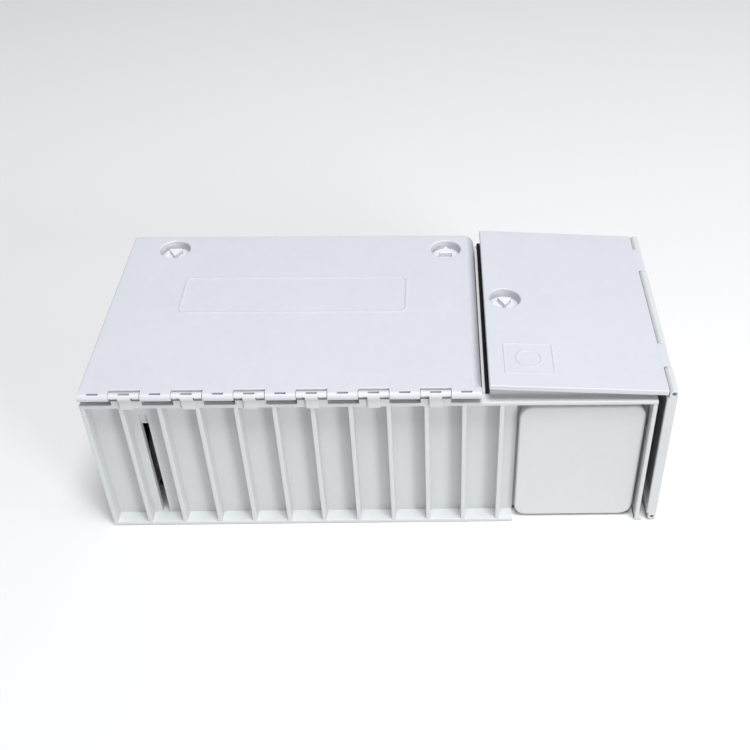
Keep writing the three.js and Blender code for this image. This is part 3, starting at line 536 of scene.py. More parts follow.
def knuckle(shell, low, high, on_cover):
    """One barrel of the long hinge, with the short slot near its top."""
    middle = (low + high) / 2
    sides = [-SLOT_LEAN - SLOT_HALF, -SLOT_LEAN + SLOT_HALF]
    outer, inner = ([math.degrees(math.acos(side / r)) for side in sides] for r in (HINGE_R, HINGE_BORE))
    notched = arc(hinge_y, hinge_z, HINGE_R, outer[0], 360 + outer[1], 38)
    notched += arc(hinge_y, hinge_z, HINGE_BORE, 360 + inner[1], inner[0], 18)
    ring = [circle(hinge_y, hinge_z, HINGE_R, 40), circle(hinge_y, hinge_z, HINGE_BORE, 16)]
    slot = (middle - MARK_HALF, middle + MARK_HALF)
    if on_cover:
        solid(shell, "x", ring, (low, slot[0]), [0.35, 0.15], ends=(1, 0))
        solid(shell, "x", [notched], slot, 0.0, ends=(0, 0))
        solid(shell, "x", ring, (slot[1], high), [0.35, 0.15], ends=(0, 1))
        leaf = [(hinge_y + 1.6, COVER_TOP - WALL), (plate_front, COVER_TOP - WALL), (plate_front, COVER_TOP),
                (hinge_y, COVER_TOP)]
        solid(shell, "x", [leaf], (low, high), 0.0)
        return
    edge = [math.degrees(math.asin(WINDOW_ABOVE / r)) for r in (HINGE_R, HINGE_BORE)]
    hooked = arc(hinge_y, hinge_z, HINGE_R, -80, 180 - edge[0], 30)
    hooked += arc(hinge_y, hinge_z, HINGE_BORE, 180 - edge[1], -72, 18)
    web = (middle - WEB_HALF, middle + WEB_HALF)
    lengths = ((low, [hooked]), (web[0], ring), (slot[0], [notched]), (slot[1], ring), (web[1], [hooked]))
    for (start, section), stop in zip(lengths, (web[0], slot[0], slot[1], web[1], high)):
        solid(shell, "x", section, (start, stop), 0.0, ends=(0, 0))


def long_hinge(shell):
    """The tub's knuckles, each on a web that stands on a foot."""
    half = knuckle_length / 2 - GAP / 2
    web_y = (FRONT - WEB_PROUD, hinge_y + 1.5)
    for k in range(1, KNUCKLES, 2):
        x = cover_left + (k + 0.5) * knuckle_length
        knuckle(shell, x - half, x + half, False)
        block(shell, (x - WEB_HALF, x + WEB_HALF), web_y, (RAIL_LOW + 0.4, hinge_z), 0.4)
        block(shell, (x - half, x + half), (FRONT - HAIR, FRONT + 4), (RAIL_LOW + 0.5, FOOT_TOP), 0.4)


def foot_hinge(shell):
    """The tub's share of the hinge along the foot of the end panel."""
    barrel = [circle(barrel_x, barrel_low, BARREL, 32), circle(barrel_x, barrel_low, BORE, 16)]
    for a, b in SIDE_HINGED:
        span = (FRONT + a, FRONT + b)
        solid(shell, "y", barrel, span, [0.4, 0.3])
        block(shell, (up_right + 1, barrel_x), grown(span, -HAIR), (GAP, barrel_low), 0.4)


def build_tub():
    shell = Shell()
    for y, rear in ((from_front, False), (from_back, True)):
        wall_panels(shell, y, rear)
        wall_ribs(shell, y)
        wall_rim(shell, y, rear)
        slot_collar(shell, y, rear)
    floor = [(LEFT, FRONT), (bay_left, FRONT), (bay_left, FRONT + BAY_IN), (up_left, FRONT + BAY_IN),
             (up_left, FRONT), (up_right + 2, FRONT), (up_right + 2, BACK), (up_left, BACK),
             (up_left, BACK - BAY_IN), (bay_left, BACK - BAY_IN), (bay_left, BACK), (LEFT, BACK)]
    solid(shell, "z", [floor], (0, FLOOR), 0.5)
    end_wall(shell)
    partition(shell)
    carrier_lugs(shell)
    long_hinge(shell)
    foot_hinge(shell)
    return shell


make("tub", build_tub(), "body", ["base"], SHELL)


# ------------------------------------------------------------------ locks
KEY_SIDE = 11


def lock_cup(shell, lock):
    """The round well that a lock sits in."""
    x, y, top = lock[:3]
    floor_top, floor_low, _ = cam_levels(lock)
    profile = [(CUP_R, floor_low), (CUP_R, top - 0.25), (CUP_R - 0.25, top + 0.02)]
    profile += arc(WELL_R + 1.0, top - 1.0 + 0.02, 1.0, 90, 180, 5)
    profile += [(WELL_R, floor_top + 0.8), (WELL_R - 0.35, floor_top + 0.2), (WELL_R - 0.95, floor_top),
                (LOCK_BORE, floor_top), (LOCK_BORE, floor_low)]
    turned(shell, (x, y), profile, 64)


def lock_pieces(name, body, carrier, matrix=None):
    """The triangular key insert, and its sleeve, cam and nut under the well."""
    x, y, top, apex, rest, reach = LOCKS[name]
    floor_top, floor_low, cam_top = cam_levels(LOCKS[name])
    plug = Shell()
    disc_r = WELL_R - 2.6
    turned(plug, (x, y), [(2.0, floor_top + 0.3), (disc_r, floor_top + 0.3), (disc_r, floor_top + 1.5),
                          (disc_r - 0.5, floor_top + 2), (2.0, floor_top + 2)], 48)
    side = KEY_SIDE / math.sqrt(3)
    corners = []
    for k in range(3):
        turn = apex + 120 * k
        corner = (x + (side - 1.4) * math.cos(math.radians(turn)),
                  y + (side - 1.4) * math.sin(math.radians(turn)))
        corners += arc(*corner, 0.7, turn - 60, turn + 60, 5)
    solid(plug, "z", [corners], (floor_top + 1.2, top - 1.4), 0.5, ends=(0, 1))
    solid(plug, "z", [circle(x, y, 2.7, 24)], (cam_top - 6.1, floor_top + 1.2), 0.3)
    make(f"key_insert_{name}", plug, body, [f"lock_plug_{name}"], INSERT, matrix=matrix)
    sleeve = Shell()
    tube = [circle(x, y, 4.4, 32), circle(x, y, 3.0, 24)]
    solid(sleeve, "z", tube, (cam_top + GAP, floor_low - GAP), 0.25)
    make(f"sleeve_{name}", sleeve, carrier, [f"lock_sleeve_{name}"], STEEL_DARKENED_AS_SHADE, matrix=matrix)
    turn = Matrix.Translation((x, y, cam_top)) @ Matrix.Rotation(math.radians(rest), 4, "Z")
    cam = Shell()
    tongue = rect((-3.5, reach), (-3.5, 3.5), 1.6, 4)
    solid(cam, "z", [tongue, circle(0, 0, 3.0, 24)], (-2.5, 0), 0.3, matrix=turn)
    make(f"cam_{name}", cam, body, [f"lock_cam_{name}"], STEEL_DARKENED_AS_SHADE, matrix=matrix)
    nut = Shell()
    solid(nut, "z", [circle(0, 0, 4.4, 6), circle(0, 0, 3.0, 24)], (-5.7, -2.8), 0.35, matrix=turn)
    make(f"nut_{name}", nut, body, [f"lock_nut_{name}"], STEEL_DARKENED_AS_SHADE, matrix=matrix)


# ------------------------------------------------------------------ main cover
# The radii of the cover's right and left edges.
EDGE_R, LEFT_R = 8, 1.2


def ring_outline(shell, x, y, radius, width, top, height=0.35):
    """A raised line round a rounded rectangle."""
    solid(shell, "z", [rect(x, y, radius, 8), rect(grown(x, -width), grown(y, -width), radius - width, 8)],
          (top - 0.4, top + height), [0.3, 0.3], ends=(0, 1))


def build_cover():
    shell = Shell()
    top = COVER_TOP
    low = top - WALL
    right_arc = arc(cover_right - EDGE_R, top - EDGE_R, EDGE_R, 0, 90, 14)
    left_arc = arc(cover_left + LEFT_R, top - LEFT_R, LEFT_R, 90, 180, 5)
    holes = [circle(*LOCKS[n][:2], CUP_HOLE, 64) for n in ("left", "right")]
    plate_x = (cover_left + 4, cover_right - 9)
    plate_y = (plate_front + 4, cover_back - WALL)
    solid(shell, "z", [rect(plate_x, plate_y), *holes], (low, top), 0.0, ends=(0, 0))
    for k in range(KNUCKLES):
        x = (cover_left + k * knuckle_length, cover_left + (k + 1) * knuckle_length)
        x = (max(x[0], plate_x[0]), min(x[1], plate_x[1]))
        nose = [(plate_front, top), (plate_front, low)]
        if k % 2:
            nose = arc(plate_front + 0.6, top - 0.6, 0.6, 90, 180, 5) + [(plate_front, low)]
        solid(shell, "x", [nose + [(plate_y[0], low), (plate_y[0], top)]], x, 0.0, ends=(0, 0))
    right = [(cover_right - 9, low)] + arc(cover_right - EDGE_R, top - EDGE_R, EDGE_R - WALL, 90, 0, 8)
    right += [(cover_right - WALL, skirt_low), (cover_right, skirt_low), *right_arc, (cover_right - 9, top)]
    solid(shell, "y", [right], (plate_front, plate_y[1]), 0.35, ends=(1, 0))
    left = [(cover_left, skirt_low), (cover_left + WALL, skirt_low), (cover_left + WALL, low),
            (cover_left + 4, low), (cover_left + 4, top), *left_arc]
    solid(shell, "y", [left], (plate_front, plate_y[1]), 0.35, ends=(1, 0))
    outline = [(cover_left, skirt_low), (cover_right, skirt_low), *right_arc, *left_arc]
    solid(shell, "y", [outline], (cover_back - WALL, cover_back), 1.0, ends=(0, 1), steps=5)
    for k in range(0, KNUCKLES, 2):
        x = cover_left + (k + 0.5) * knuckle_length
        half = knuckle_length / 2 - GAP / 2
        knuckle(shell, x - half, x + half, True)
        for line in (x - half + 0.8, x + MARK_HALF):
            block(shell, (line - 0.15, line + 0.15), (plate_front, plate_front + 9),
                  (top - 0.3, top + 0.12), 0.08)
    for share in (0.36, 0.68):
        x = cover_left + (cover_right - cover_left) * share
        block(shell, (x - 1, x + 1), (plate_front + 6, cover_back - 34), (top - 6, top - 1), 0.3)
    for name in ("left", "right"):
        lock_cup(shell, LOCKS[name])
    ring_outline(shell, (LEFT + 50.5, LEFT + 212.5), (FRONT + 85, FRONT + 128), 5, 1.1, top, 0.5)
    return shell


make("cover_shell", build_cover(), "cover", ["main_cover"], LID)
lock_pieces("left", "left_lock", "cover")
lock_pieces("right", "right_lock", "cover")


def rod(name, axis, at, radius, span, body, node):
    """A plain steel hinge pin."""
    shell = Shell()
    solid(shell, axis, [circle(*at, radius, 20)], span, 0.4)
    make(name, shell, body, [node], STEEL_DARKENED_AS_SHADE)


long_pin_x = (cover_left + 2, cover_right - 2)
rod("long_pin", "x", (hinge_y, hinge_z), HINGE_PIN, long_pin_x, "body", "main_hinge_pin")

# ------------------------------------------------------------------ end panel and its pins
PANEL = 7.0


def build_end_panel():
    shell = Shell()
    low, high = barrel_low + BARREL + 0.6, barrel_top - BARREL - 0.6
    left = RIGHT - PANEL
    bores = [circle(barrel_x, z, BORE, 20) for z in (barrel_low, barrel_top)]
    toe = arc(barrel_x, barrel_low, BARREL, 180, 360, 20)
    crown = arc(RIGHT - 0.9, DOOR_TOP - 1.3, 0.9, 0, 90, 4)
    crown += arc(barrel_x, barrel_top, BARREL, 96, 180, 12)
    cheek = [*toe, *crown, (barrel_x - BARREL, high), (left, high - 0.4), (left, low + 0.4),
             (barrel_x - BARREL, low)]
    sides = ((FRONT, FRONT + WALL), (BACK - WALL, BACK))
    for span, ends in zip(sides, ((1, 0), (0, 1))):
        solid(shell, "y", [cheek, *bores], span, [0.6, 0.2, 0.2], ends=ends, steps=4)
    middle = (FRONT + WALL, BACK - WALL)
    for z in ((low, low + WALL), (high - WALL, high)):
        block(shell, (left, RIGHT - 1), grown(middle, -HAIR), z, 0.4)
    solid(shell, "y", [rect((RIGHT - WALL, RIGHT), (low, high))], middle, 0.0, ends=(0, 0))
    for share in (0.25, 0.5, 0.75):
        y = FRONT + DEPTH * share
        block(shell, (left + 1, RIGHT - 1), (y - 1, y + 1), (low + 1, high - 1), 0.3)
    upper = [(barrel_x - BARREL, high - 1), (RIGHT, high - 1), *crown]
    lower = [*toe, (RIGHT, low + 1), (barrel_x - BARREL, low + 1)]
    for a, b in PANEL_HINGED:
        span = [FRONT + a, FRONT + b]
        ends = [1, 1]
        if a < WALL:
            span[0], ends[0] = FRONT + WALL, 0
        if b > DEPTH - WALL:
            span[1], ends[1] = BACK - WALL, 0
        solid(shell, "y", [lower, bores[0]], span, [0.4, 0.2], ends=ends)
        solid(shell, "y", [upper, bores[1]], span, [0.4, 0.2], ends=ends)
    return shell


make("end_panel_shell", build_end_panel(), "end", ["end_panel"], SHELL)
rod("foot_pin", "y", (barrel_x, barrel_low), PIN, (FRONT + 8, BACK - 8), "body", "end_panel_pin")
rod("top_pin", "y", (barrel_x, barrel_top), PIN, (FRONT + 8, BACK - 8), "end", "door_pin")

# ------------------------------------------------------------------ side door, slightly ajar
pivot = Matrix.Translation((barrel_x, 0, barrel_top))
tilt = pivot @ Matrix.Rotation(AJAR, 4, "Y") @ pivot.inverted()


def build_door():
    shell = Shell()
    top = DOOR_TOP
    x, y = (door_left, door_right), (FRONT, cover_back)
    inner = (grown(x, -WALL), grown(y, -WALL))
    solid(shell, "z", [rect(x, y, 0.8), rect(*inner)], (top - 4, top), [0.7, 0.0], steps=4)
    hole = circle(*LOCKS["door"][:2], CUP_HOLE, 64)
    solid(shell, "z", [rect(*inner), hole], (top - 2.6, top), 0.0, ends=(0, 0))
    for share in (0.3, 0.72):
        middle = FRONT + DEPTH * share
        block(shell, grown(x, -1), (middle - 1, middle + 1), (top - 4, top - 1), 0.3)
    lock_cup(shell, LOCKS["door"])
    leaf_low = barrel_top + 0.7
    leaf = [(door_right - 0.9, leaf_low)] + arc(barrel_x, barrel_top, BARREL, 166, 450, 32)
    leaf += [(barrel_x, top + HAIR), (door_right - 0.9, top + HAIR)]
    for a, b in SIDE_HINGED:
        solid(shell, "y", [leaf, circle(barrel_x, barrel_top, BORE, 16)], (FRONT + a, FRONT + b), [0.35, 0.2])
    mark_x, mark_y = (LEFT + 278, LEFT + 311.8), (FRONT + 13, FRONT + 44.5)
    ring_outline(shell, mark_x, mark_y, 1.5, 0.9, top)
    middle = (sum(mark_x) / 2, sum(mark_y) / 2)
    solid(shell, "z", [circle(*middle, 9, 48), circle(*middle, 8.1, 48)], (top - 0.4, top + 0.35),
          [0.3, 0.3], ends=(0, 1))
    return shell


make("side_door_shell", build_door(), "side_door", ["door"], LID, matrix=tilt)
lock_pieces("door", "door_lock", "side_door", matrix=tilt)


# ------------------------------------------------------------------ port covers and the seal
# How far in the port cover's face lies, the depth of its lip, and the undercut behind the lip.
PORT_FACE, PORT_LIP, UNDERCUT = 4.8, 2.6, 1.2


def build_port(y):
    shell = Shell()
    face, skin, foot = y(PORT_FACE), y(PORT_FACE + WALL), y(BAY_IN - GAP)
    front_end = (1, 0) if face < foot else (0, 1)
    outer = rect(port_x, PORT_Z, 9, 12)
    inner = rect(grown(port_x, -WALL), grown(PORT_Z, -WALL), 6.5, 12)
    solid(shell, "y", [outer, inner], (face, y(PORT_FACE + PORT_LIP)), [1.6, 0.0], ends=front_end, steps=6)
    skirt = [rect(grown(port_x, -UNDERCUT), grown(PORT_Z, -UNDERCUT), 7.8, 12),
             rect(grown(port_x, -WALL - HAIR), grown(PORT_Z, -WALL - HAIR), 6.5, 12)]
    solid(shell, "y", skirt, (y(PORT_FACE + PORT_LIP - 0.3), foot), 0.0, ends=(0, 0))
    solid(shell, "y", [rect(grown(port_x, -1.3), grown(PORT_Z, -1.3), 7.7, 12)],
          (face + (0.01 if face < foot else -0.01), skin), 0.0, ends=(0, 0))
    for x in (port_x[0] + WINDOW_IN + 2, port_x[1] - WINDOW_IN - 2):
        for z in (PORT_Z[0] + 30, PORT_Z[1] - 30):
            block(shell, (x - 1, x + 1), (y(PORT_FACE + 1), y(BAY_IN + WALL + 2)), (z - 6, z + 6), 0.3)
    return shell


make("front_port_plate", build_port(from_front), "front_port", ["front_port_cover"], SHELL)
make("rear_port_plate", build_port(from_back), "rear_port", ["rear_port_cover"], SHELL)

# The foam strip on the partition. Its near-black colour is partly painted shade of the gap there.
seal = Shell()
seal_z = (RAIL_TOP + GAP, RIM_TOP + 0.3)
block(seal, (part_x + 0.2, part_x + PART_W - 0.2), (FRONT + RIM_IN, BACK - 1.5), seal_z, 0.8)
make("foam_seal_gap_shade", seal, "body", ["partition_seal"], FOAM_WITH_GAP_SHADE)

# ------------------------------------------------------------------ adapter field
plate_x = (part_x + PART_W + GAP, part_x + PART_W + GAP + 2)
FIELD_SCREWS, FIELD_SCREW_Z = (41.0, 143.0), 55.0
SPOTS = [(FRONT + inset_by, z) for z in (38.0, 72.0) for inset_by in (64.0, 92.0, 120.0)]
# Half sizes along y and z of an adapter's body and of its mouths, and the depth of a mouth.
ADAPTER, MOUTH, MOUTH_DEPTH = (6.4, 4.65), (4.8, 3.35), 10
adapter_x = (part_x - 7.5, part_x + 18)


def around(spot, half, radius):
    """A rounded rectangle about a point, from its half sizes."""
    return rect(grown((spot[0],) * 2, half[0]), grown((spot[1],) * 2, half[1]), radius)


def build_adapter_plate():
    shell = Shell()
    outline = rect((FRONT + 38, FRONT + 146), (12, 98), 2.5)
    cut_outs = [around(spot, (ADAPTER[0] + GAP, ADAPTER[1] + GAP), 0.4) for spot in SPOTS]
    screw_holes = [circle(FRONT + inset_by, FIELD_SCREW_Z, 1.8, 16) for inset_by in FIELD_SCREWS]
    solid(shell, "x", [outline, *cut_outs, *screw_holes], plate_x, 0.35)
    return shell


def build_adapter(y, z):
    shell = Shell()
    low, high = adapter_x
    tube = [around((y, z), ADAPTER, 0.6), around((y, z), MOUTH, 0.4)]
    core = around((y, z), (ADAPTER[0] - HAIR, ADAPTER[1] - HAIR), 0.6)
    solid(shell, "x", tube, (low, low + MOUTH_DEPTH), [0.35, 0.25])
    solid(shell, "x", [core], (low + MOUTH_DEPTH - 0.5, high - MOUTH_DEPTH + 0.5), 0.0, ends=(0, 0))
    solid(shell, "x", tube, (high - MOUTH_DEPTH, high), [0.35, 0.25])
    flange_x = (plate_x[1] + GAP, plate_x[1] + GAP + 2)
    block(shell, flange_x, grown((y, y), 11), grown((z, z), ADAPTER[1] - 0.03), 0.4)
    block(shell, (low + 3, low + 9), grown((y, y), 1.6), (z + ADAPTER[1] - 0.25, z + ADAPTER[1]), 0.1)
    solid(shell, "x", [circle(y, z, 1.25, 16)], (low + 2.5, low + MOUTH_DEPTH + 0.5), 0.25)
    return shell


def build_cap(y, z):
    """A plug in the adapter's outer mouth, with a collar and a ribbed grip."""
    shell = Shell()
    mouth = adapter_x[1]
    grip = 3
    block(shell, (mouth - 6, mouth + 1), grown((y, y), MOUTH[0] - 0.4), grown((z, z), MOUTH[1] - 0.4), 0.5)
    block(shell, (mouth + GAP, mouth + 2.5), grown((y, y), ADAPTER[0]), grown((z, z), ADAPTER[1]), 0.7)
    solid(shell, "x", [circle(y, z, grip, 28)], (mouth + 2, mouth + 9), 0.8)
    for band in (3.6, 5.0, 6.4):
        solid(shell, "x", [circle(y, z, grip + 0.15, 28)], (mouth + band, mouth + band + 0.6), 0.1)
    return shell


make("adapter_field", build_adapter_plate(), "body", ["adapter_plate"], INNER)
for number, spot in enumerate(SPOTS, 1):
    made = build_adapter(*spot)
    make(f"fiber_adapter_{number}", made, "body", [f"adapter_{number}"], GREEN)
    make(f"cap_{number}", build_cap(*spot), "body", [f"dust_cap_{number}"], CAP)

HEAD_R, SHANK_R = 3.0, 1.3


def screw(name, axis, at, head, foot, node):
    """A pan head with a cross recess on a plain shank; head and foot are levels along the axis."""
    shell = Shell()
    way = 1 if head[1] > head[0] else -1
    arm = 0.45
    cross = []
    for k in range(4):
        turn = math.pi / 2 * k
        for u, v in ((1.7, -arm), (1.7, arm), (arm, arm)):
            cross.append((at[0] + u * math.cos(turn) - v * math.sin(turn),
                          at[1] + u * math.sin(turn) + v * math.cos(turn)))
    middle = head[0] + way * 1.0
    rim = circle(*at, HEAD_R, 32)
    solid(shell, axis, [rim], (head[0], middle + way * 0.01), 0.0, ends=(0, 0))
    solid(shell, axis, [rim, cross], (middle, head[1]), [0.7, 0.05], ends=(0, 1) if way > 0 else (1, 0))
    solid(shell, axis, [circle(*at, SHANK_R, 16)], (foot, head[0] + way * 0.2), 0.3)
    make(name, shell, "body", [node], STEEL_DARKENED_AS_SHADE)


for number, inset_by in enumerate(FIELD_SCREWS, 1):
    base_level = plate_x[1] + GAP
    screw(f"field_screw_{number}", "x", (FRONT + inset_by, FIELD_SCREW_Z), (base_level, base_level + 2),
          plate_x[0] + GAP, f"plate_screw_{number}")

# ------------------------------------------------------------------ splice trays on their hinged carrier
carrier_y = (FRONT + CARRIER[0], FRONT + CARRIER[1])
CARRIER_TOP = CARRIER_Z + 3.7
CARRIER_SKIN = 1.6
tray_x = (carrier_x + 7, carrier_x + 99)
tray_y = grown(carrier_y, -2.2)
TRAY_COUNT, TRAY_STEP, TRAY_HIGH = 3, 9.0, 8.6
TRAY_SKIN, TRAY_CORNER = 1.6, 6
# The fibre drums of a tray: their radii outside and inside, and how far each is from the middle.
DRUM, DRUM_BORE, DRUM_OFFSET = 15, 13.4, 34
lid_low = CARRIER_TOP + GAP + TRAY_COUNT * TRAY_STEP


def build_carrier():
    """A flanged plate with a foot under its tip and two sleeves round the pin."""
    shell = Shell()
    tip = tray_x[1] + 2
    flange_z = (CARRIER_TOP - 1, CARRIER_TOP + 5)
    flat = rect((carrier_x + 4.5, tip - HAIR), grown(carrier_y, -HAIR), 0.6)
    solid(shell, "z", [flat], (CARRIER_TOP - 2, CARRIER_TOP), 0.35)
    block(shell, (tip - CARRIER_SKIN, tip - HAIR / 2), grown(carrier_y, -HAIR / 2), flange_z, 0.35)
    block(shell, (tip - 5, tip - 2), grown(carrier_y, -20), (FLOOR + GAP, CARRIER_TOP - 1), 0.35)
    for y in (carrier_y[0], carrier_y[1] - CARRIER_SKIN):
        block(shell, (carrier_x + 6, tip), (y, y + CARRIER_SKIN), flange_z, 0.35)
    sleeve = [circle(carrier_x, CARRIER_Z, 3.6, 32), circle(carrier_x, CARRIER_Z, BORE, 16)]
    arm_z = (CARRIER_Z + 0.2, CARRIER_Z + 3.4)
    for span in ((carrier_y[0] + GAP, carrier_y[0] + 14), (carrier_y[1] - 14, carrier_y[1] - GAP)):
        solid(shell, "y", sleeve, span, 0.3)
        block(shell, (carrier_x + 2.6, carrier_x + 6), grown(span, -HAIR), arm_z, 0.3)
    return shell


def build_tray(low):
    """An open tray with a row of splice holders between two split drums for the fibre."""
    shell = Shell()
    x, y = sum(tray_x) / 2, sum(tray_y) / 2
    outer = rect(tray_x, tray_y, TRAY_CORNER, 8)
    inner = rect(grown(tray_x, -TRAY_SKIN), grown(tray_y, -TRAY_SKIN), TRAY_CORNER - TRAY_SKIN, 8)
    floor_line = rect(grown(tray_x, -0.8), grown(tray_y, -0.8), TRAY_CORNER - 0.8, 8)
    solid(shell, "z", [outer, inner], (low, low + TRAY_HIGH), [0.4, 0.4])
    solid(shell, "z", [floor_line], (low + 0.01, low + TRAY_SKIN), 0.0, ends=(0, 0))
    for offset in (-10, -6, -2, 2, 6, 10):
        block(shell, grown((x + offset,) * 2, 0.8), grown((y,) * 2, 14), (low + 1, low + TRAY_HIGH - 2), 0.3)
    for offset in (-DRUM_OFFSET, DRUM_OFFSET):
        for start in (20, 200):
            half_ring = arc(x, y + offset, DRUM, start, start + 160, 20)
            half_ring += arc(x, y + offset, DRUM_BORE, start + 160, start, 20)
            solid(shell, "z", [half_ring], (low + 1, low + TRAY_HIGH - 1), 0.3, ends=(0, 1))
    return shell


def build_tray_lid():
    shell = Shell()
    solid(shell, "z", [rect(tray_x, tray_y, TRAY_CORNER, 8)], (lid_low, lid_low + TRAY_SKIN), 0.35)
    return shell


def build_strap():
    """A closed band round the carrier, the trays and their lid."""
    shell = Shell()
    strap_y = grown(carrier_y, GAP)
    strap_z = (CARRIER_TOP - 2 - GAP, lid_low + TRAY_SKIN + GAP)
    band = [rect(grown(strap_y, 1.2), grown(strap_z, 1.2), 1.5, 6), rect(strap_y, strap_z, 0.3)]
    solid(shell, "x", band, (tray_x[0] + 36, tray_x[0] + 52), [0.35, 0.2])
    return shell


make("carrier_plate", build_carrier(), "trays", ["tray_carrier"], INNER)
rod("carrier_rod", "y", (carrier_x, CARRIER_Z), PIN, grown(carrier_y, 3), "body", "tray_carrier_pin")
for number in range(1, TRAY_COUNT + 1):
    made = build_tray(CARRIER_TOP + GAP + (number - 1) * TRAY_STEP)
    make(f"tray_{number}", made, "trays", [f"splice_tray_{number}"], TRAY)
make("clear_lid", build_tray_lid(), "trays", ["tray_lid"], CLEAR)
make("strap_band", build_strap(), "trays", ["tray_strap"], STRAP)


# ------------------------------------------------------------------ splitter, spool and cord guides
def build_splitter():
    shell = Shell()
    x, y, z = (LEFT + 190, LEFT + 252), (FRONT + 66, FRONT + 156), (FLOOR + GAP, FLOOR + GAP + 10)
    block(shell, x, y, z, 0.8)
    block(shell, grown(x, -8), (y[1] - 1, y[1] + 3), grown(z, -2.5), 0.6)
    return shell


def flanged_drum(name, x, y, core, flange, height, node):
    """A hollow drum with a rim at both ends; core and flange are radii."""
    shell = Shell()
    low = FLOOR + GAP
    high = low + height
    profile = [(core - 2, low), (flange - 0.5, low), (flange, low + 0.5), (flange, low + 1.5),
               (flange - 0.5, low + 2), (core + 1, low + 2), (core, low + 3), (core, high - 3),
               (core + 1, high - 2), (flange - 0.5, high - 2), (flange, high - 1.5), (flange, high - 0.5),
               (flange - 0.5, high), (core - 2, high)]
    turned(shell, (x, y), profile, 56)
    make(name, shell, "body", [node], INNER)


make("splitter_case", build_splitter(), "body", ["splitter_module"], ALLOY)
flanged_drum("slack_spool", LEFT + 221, FRONT + 38, 17, 22, 24, "fibre_spool")
flanged_drum("front_guide", LEFT + 330, FRONT + 54, 10, 15, 56, "cord_guide_front")
flanged_drum("rear_guide", LEFT + 330, FRONT + 130, 10, 15, 56, "cord_guide_rear")

# ------------------------------------------------------------------ cable entries and clamps
# A clamp's arch: its radii outside and inside, the throat between its legs, and where its feet are screwed.
ARCH, ARCH_BORE, THROAT, FOOT_SCREW = 11, 8.5, 7, 16
clamp_x = (left_wall + 14, left_wall + 26)
clamp_low = FLOOR + GAP


def build_grommet(y):
    """A rubber bush in the wall, closed by a stepped membrane."""
    shell = Shell()
    r = GLAND_R
    outside, inside = left_wall - GAP, left_wall + WALL + GAP
    profile = [(r - 3, outside - 2), (r + 2.5, outside - 2), (r + 3, outside - 1.5), (r + 3, outside - 0.4),
               (r - GAP, outside), (r - GAP, inside), (r + 1.6, inside), (r + 2, inside + 0.5),
               (r + 2, inside + 1.6), (r + 1.5, inside + 2), (r - 1, inside + 2), (r - 3, inside + 1)]
    turned(shell, (y, GLAND_Z), profile, 48, axis="x")
    for radius in (3.5, 6.5, r - 2.9):
        membrane = (inside + 0.85 - 0.08 * radius, inside + 1.9)
        solid(shell, "x", [circle(y, GLAND_Z, radius, 40)], membrane, 0.2)
    return shell


def build_clamp(y):
    """An arch over the cable, standing on two screwed feet."""
    shell = Shell()
    throat_top = GLAND_Z - 4.8
    saddle = [(y - ARCH, clamp_low), (y - THROAT, clamp_low), (y - THROAT, throat_top)]
    saddle += arc(y, GLAND_Z, ARCH_BORE, 214, -34, 26)
    saddle += [(y + THROAT, throat_top), (y + THROAT, clamp_low), (y + ARCH, clamp_low)]
    saddle += arc(y, GLAND_Z, ARCH, 0, 180, 26)
    solid(shell, "x", [saddle], clamp_x, 0.5)
    for way in (-1, 1):
        foot = rect(grown(clamp_x, -HAIR), sorted((y + way * 7.5, y + way * 20)), 1.2)
        hole = circle(sum(clamp_x) / 2, y + way * FOOT_SCREW, 1.9, 16)
        solid(shell, "z", [foot, hole], (clamp_low, clamp_low + 3), [0.5, 0.2])
    return shell


for number, inset_by in enumerate(GLANDS, 1):
    y = FRONT + inset_by
    grommet = build_grommet(y)
    make(f"rubber_entry_{number}", grommet, "body", [f"cable_grommet_{number}"], RUBBER)
    for way in (-1, 1):
        index = (number - 1) * 2 + (1 if way < 0 else 2)
        head = (clamp_low + 3 + GAP, clamp_low + 5 + GAP)
        screw(f"saddle_screw_{index}", "z", (sum(clamp_x) / 2, y + way * FOOT_SCREW), head, clamp_low + GAP,
              f"clamp_screw_{index}")
    make(f"saddle_{number}", build_clamp(y), "body", [f"cable_clamp_{number}"], INNER)


# ------------------------------------------------------------------ stage, light and camera
def flat_material(name, color, rough):
    material = bpy.data.materials.new(name)
    material.use_nodes = True
    shader = material.node_tree.nodes["Principled BSDF"]
    shader.inputs["Base Color"].default_value = (*color, 1)
    shader.inputs["Roughness"].default_value = rough
    return material


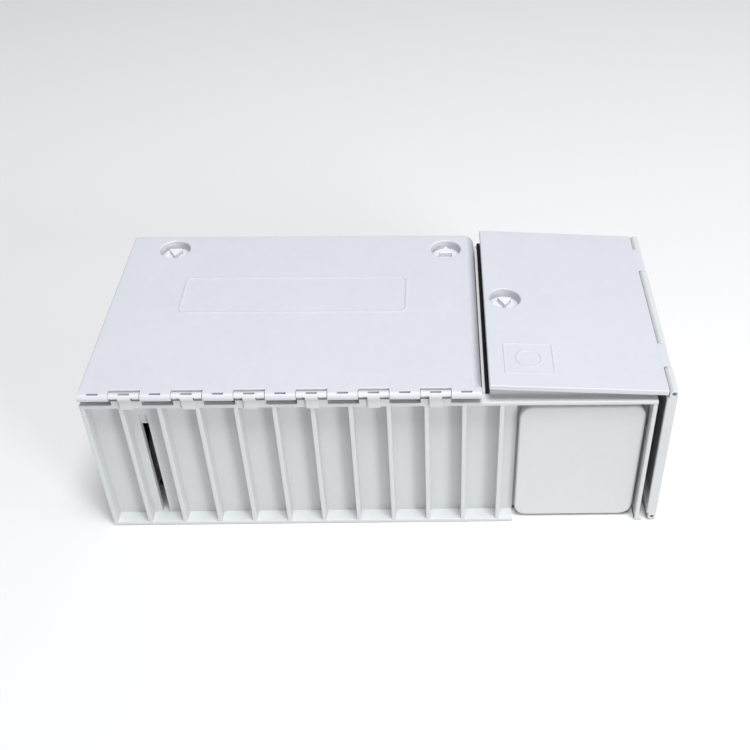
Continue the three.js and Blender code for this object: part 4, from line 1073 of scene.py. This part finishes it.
mesh = bpy.data.meshes.new("floor")
reach = 6.0
corners = [(-reach, -reach, 0), (reach, -reach, 0), (reach, reach, 0), (-reach, reach, 0)]
mesh.from_pydata(corners, [], [(0, 1, 2, 3)])
floor = bpy.data.objects.new("floor", mesh)
floor.location.z = -0.0004
bpy.context.scene.collection.objects.link(floor)
mesh.materials.append(flat_material("pale_floor", (0.78, 0.78, 0.78), 0.9))

COOL_WHITE, WARM_WHITE = (0.97, 0.985, 1.0), (1.0, 0.99, 0.97)
BOX_MIDDLE = Vector((0, 0, 0.05))
world = bpy.data.worlds.new("studio")
bpy.context.scene.world = world
world.use_nodes = True
world.node_tree.nodes["Background"].inputs["Color"].default_value = (*COOL_WHITE, 1)
world.node_tree.nodes["Background"].inputs["Strength"].default_value = 0.27


def area_light(name, place, size, power, color=(1, 1, 1)):
    """A soft round lamp aimed at the middle of the box."""
    data = bpy.data.lights.new(name, "AREA")
    data.shape = "DISK"
    data.size = size
    data.energy = power
    data.color = color
    lamp = bpy.data.objects.new(name, data)
    lamp.location = place
    lamp.rotation_euler = (BOX_MIDDLE - Vector(place)).to_track_quat("-Z", "Y").to_euler()
    bpy.context.scene.collection.objects.link(lamp)


area_light("top", (0.25, -0.7, 2.8), 1.2, 74, COOL_WHITE)
area_light("front", (2.0, -2.2, 1.05), 1.0, 38, WARM_WHITE)
area_light("side", (2.6, -0.5, 1.3), 1.2, 10)
bpy.context.scene.view_settings.view_transform = "Standard"

camera_data = bpy.data.cameras.new("camera")
camera = bpy.data.objects.new("camera", camera_data)
bpy.context.scene.collection.objects.link(camera)
bpy.context.scene.camera = camera
camera_place = Vector((0.0370, -0.6040, 0.5818))
camera_data.sensor_width = 36
camera_data.lens = 50.71
camera_data.shift_x = -0.1110
forward = Vector((0.0210, 0.7583, -0.6516)).normalized()
right = Vector((0.99975, -0.0210, 0.0078)).normalized()
up = right.cross(forward).normalized()
right = forward.cross(up).normalized()
turn = Matrix((right, up, -forward)).transposed()
camera.matrix_world = Matrix.Translation(camera_place) @ turn.to_4x4()
camera_data.clip_start = 0.01
camera_data.clip_end = 50
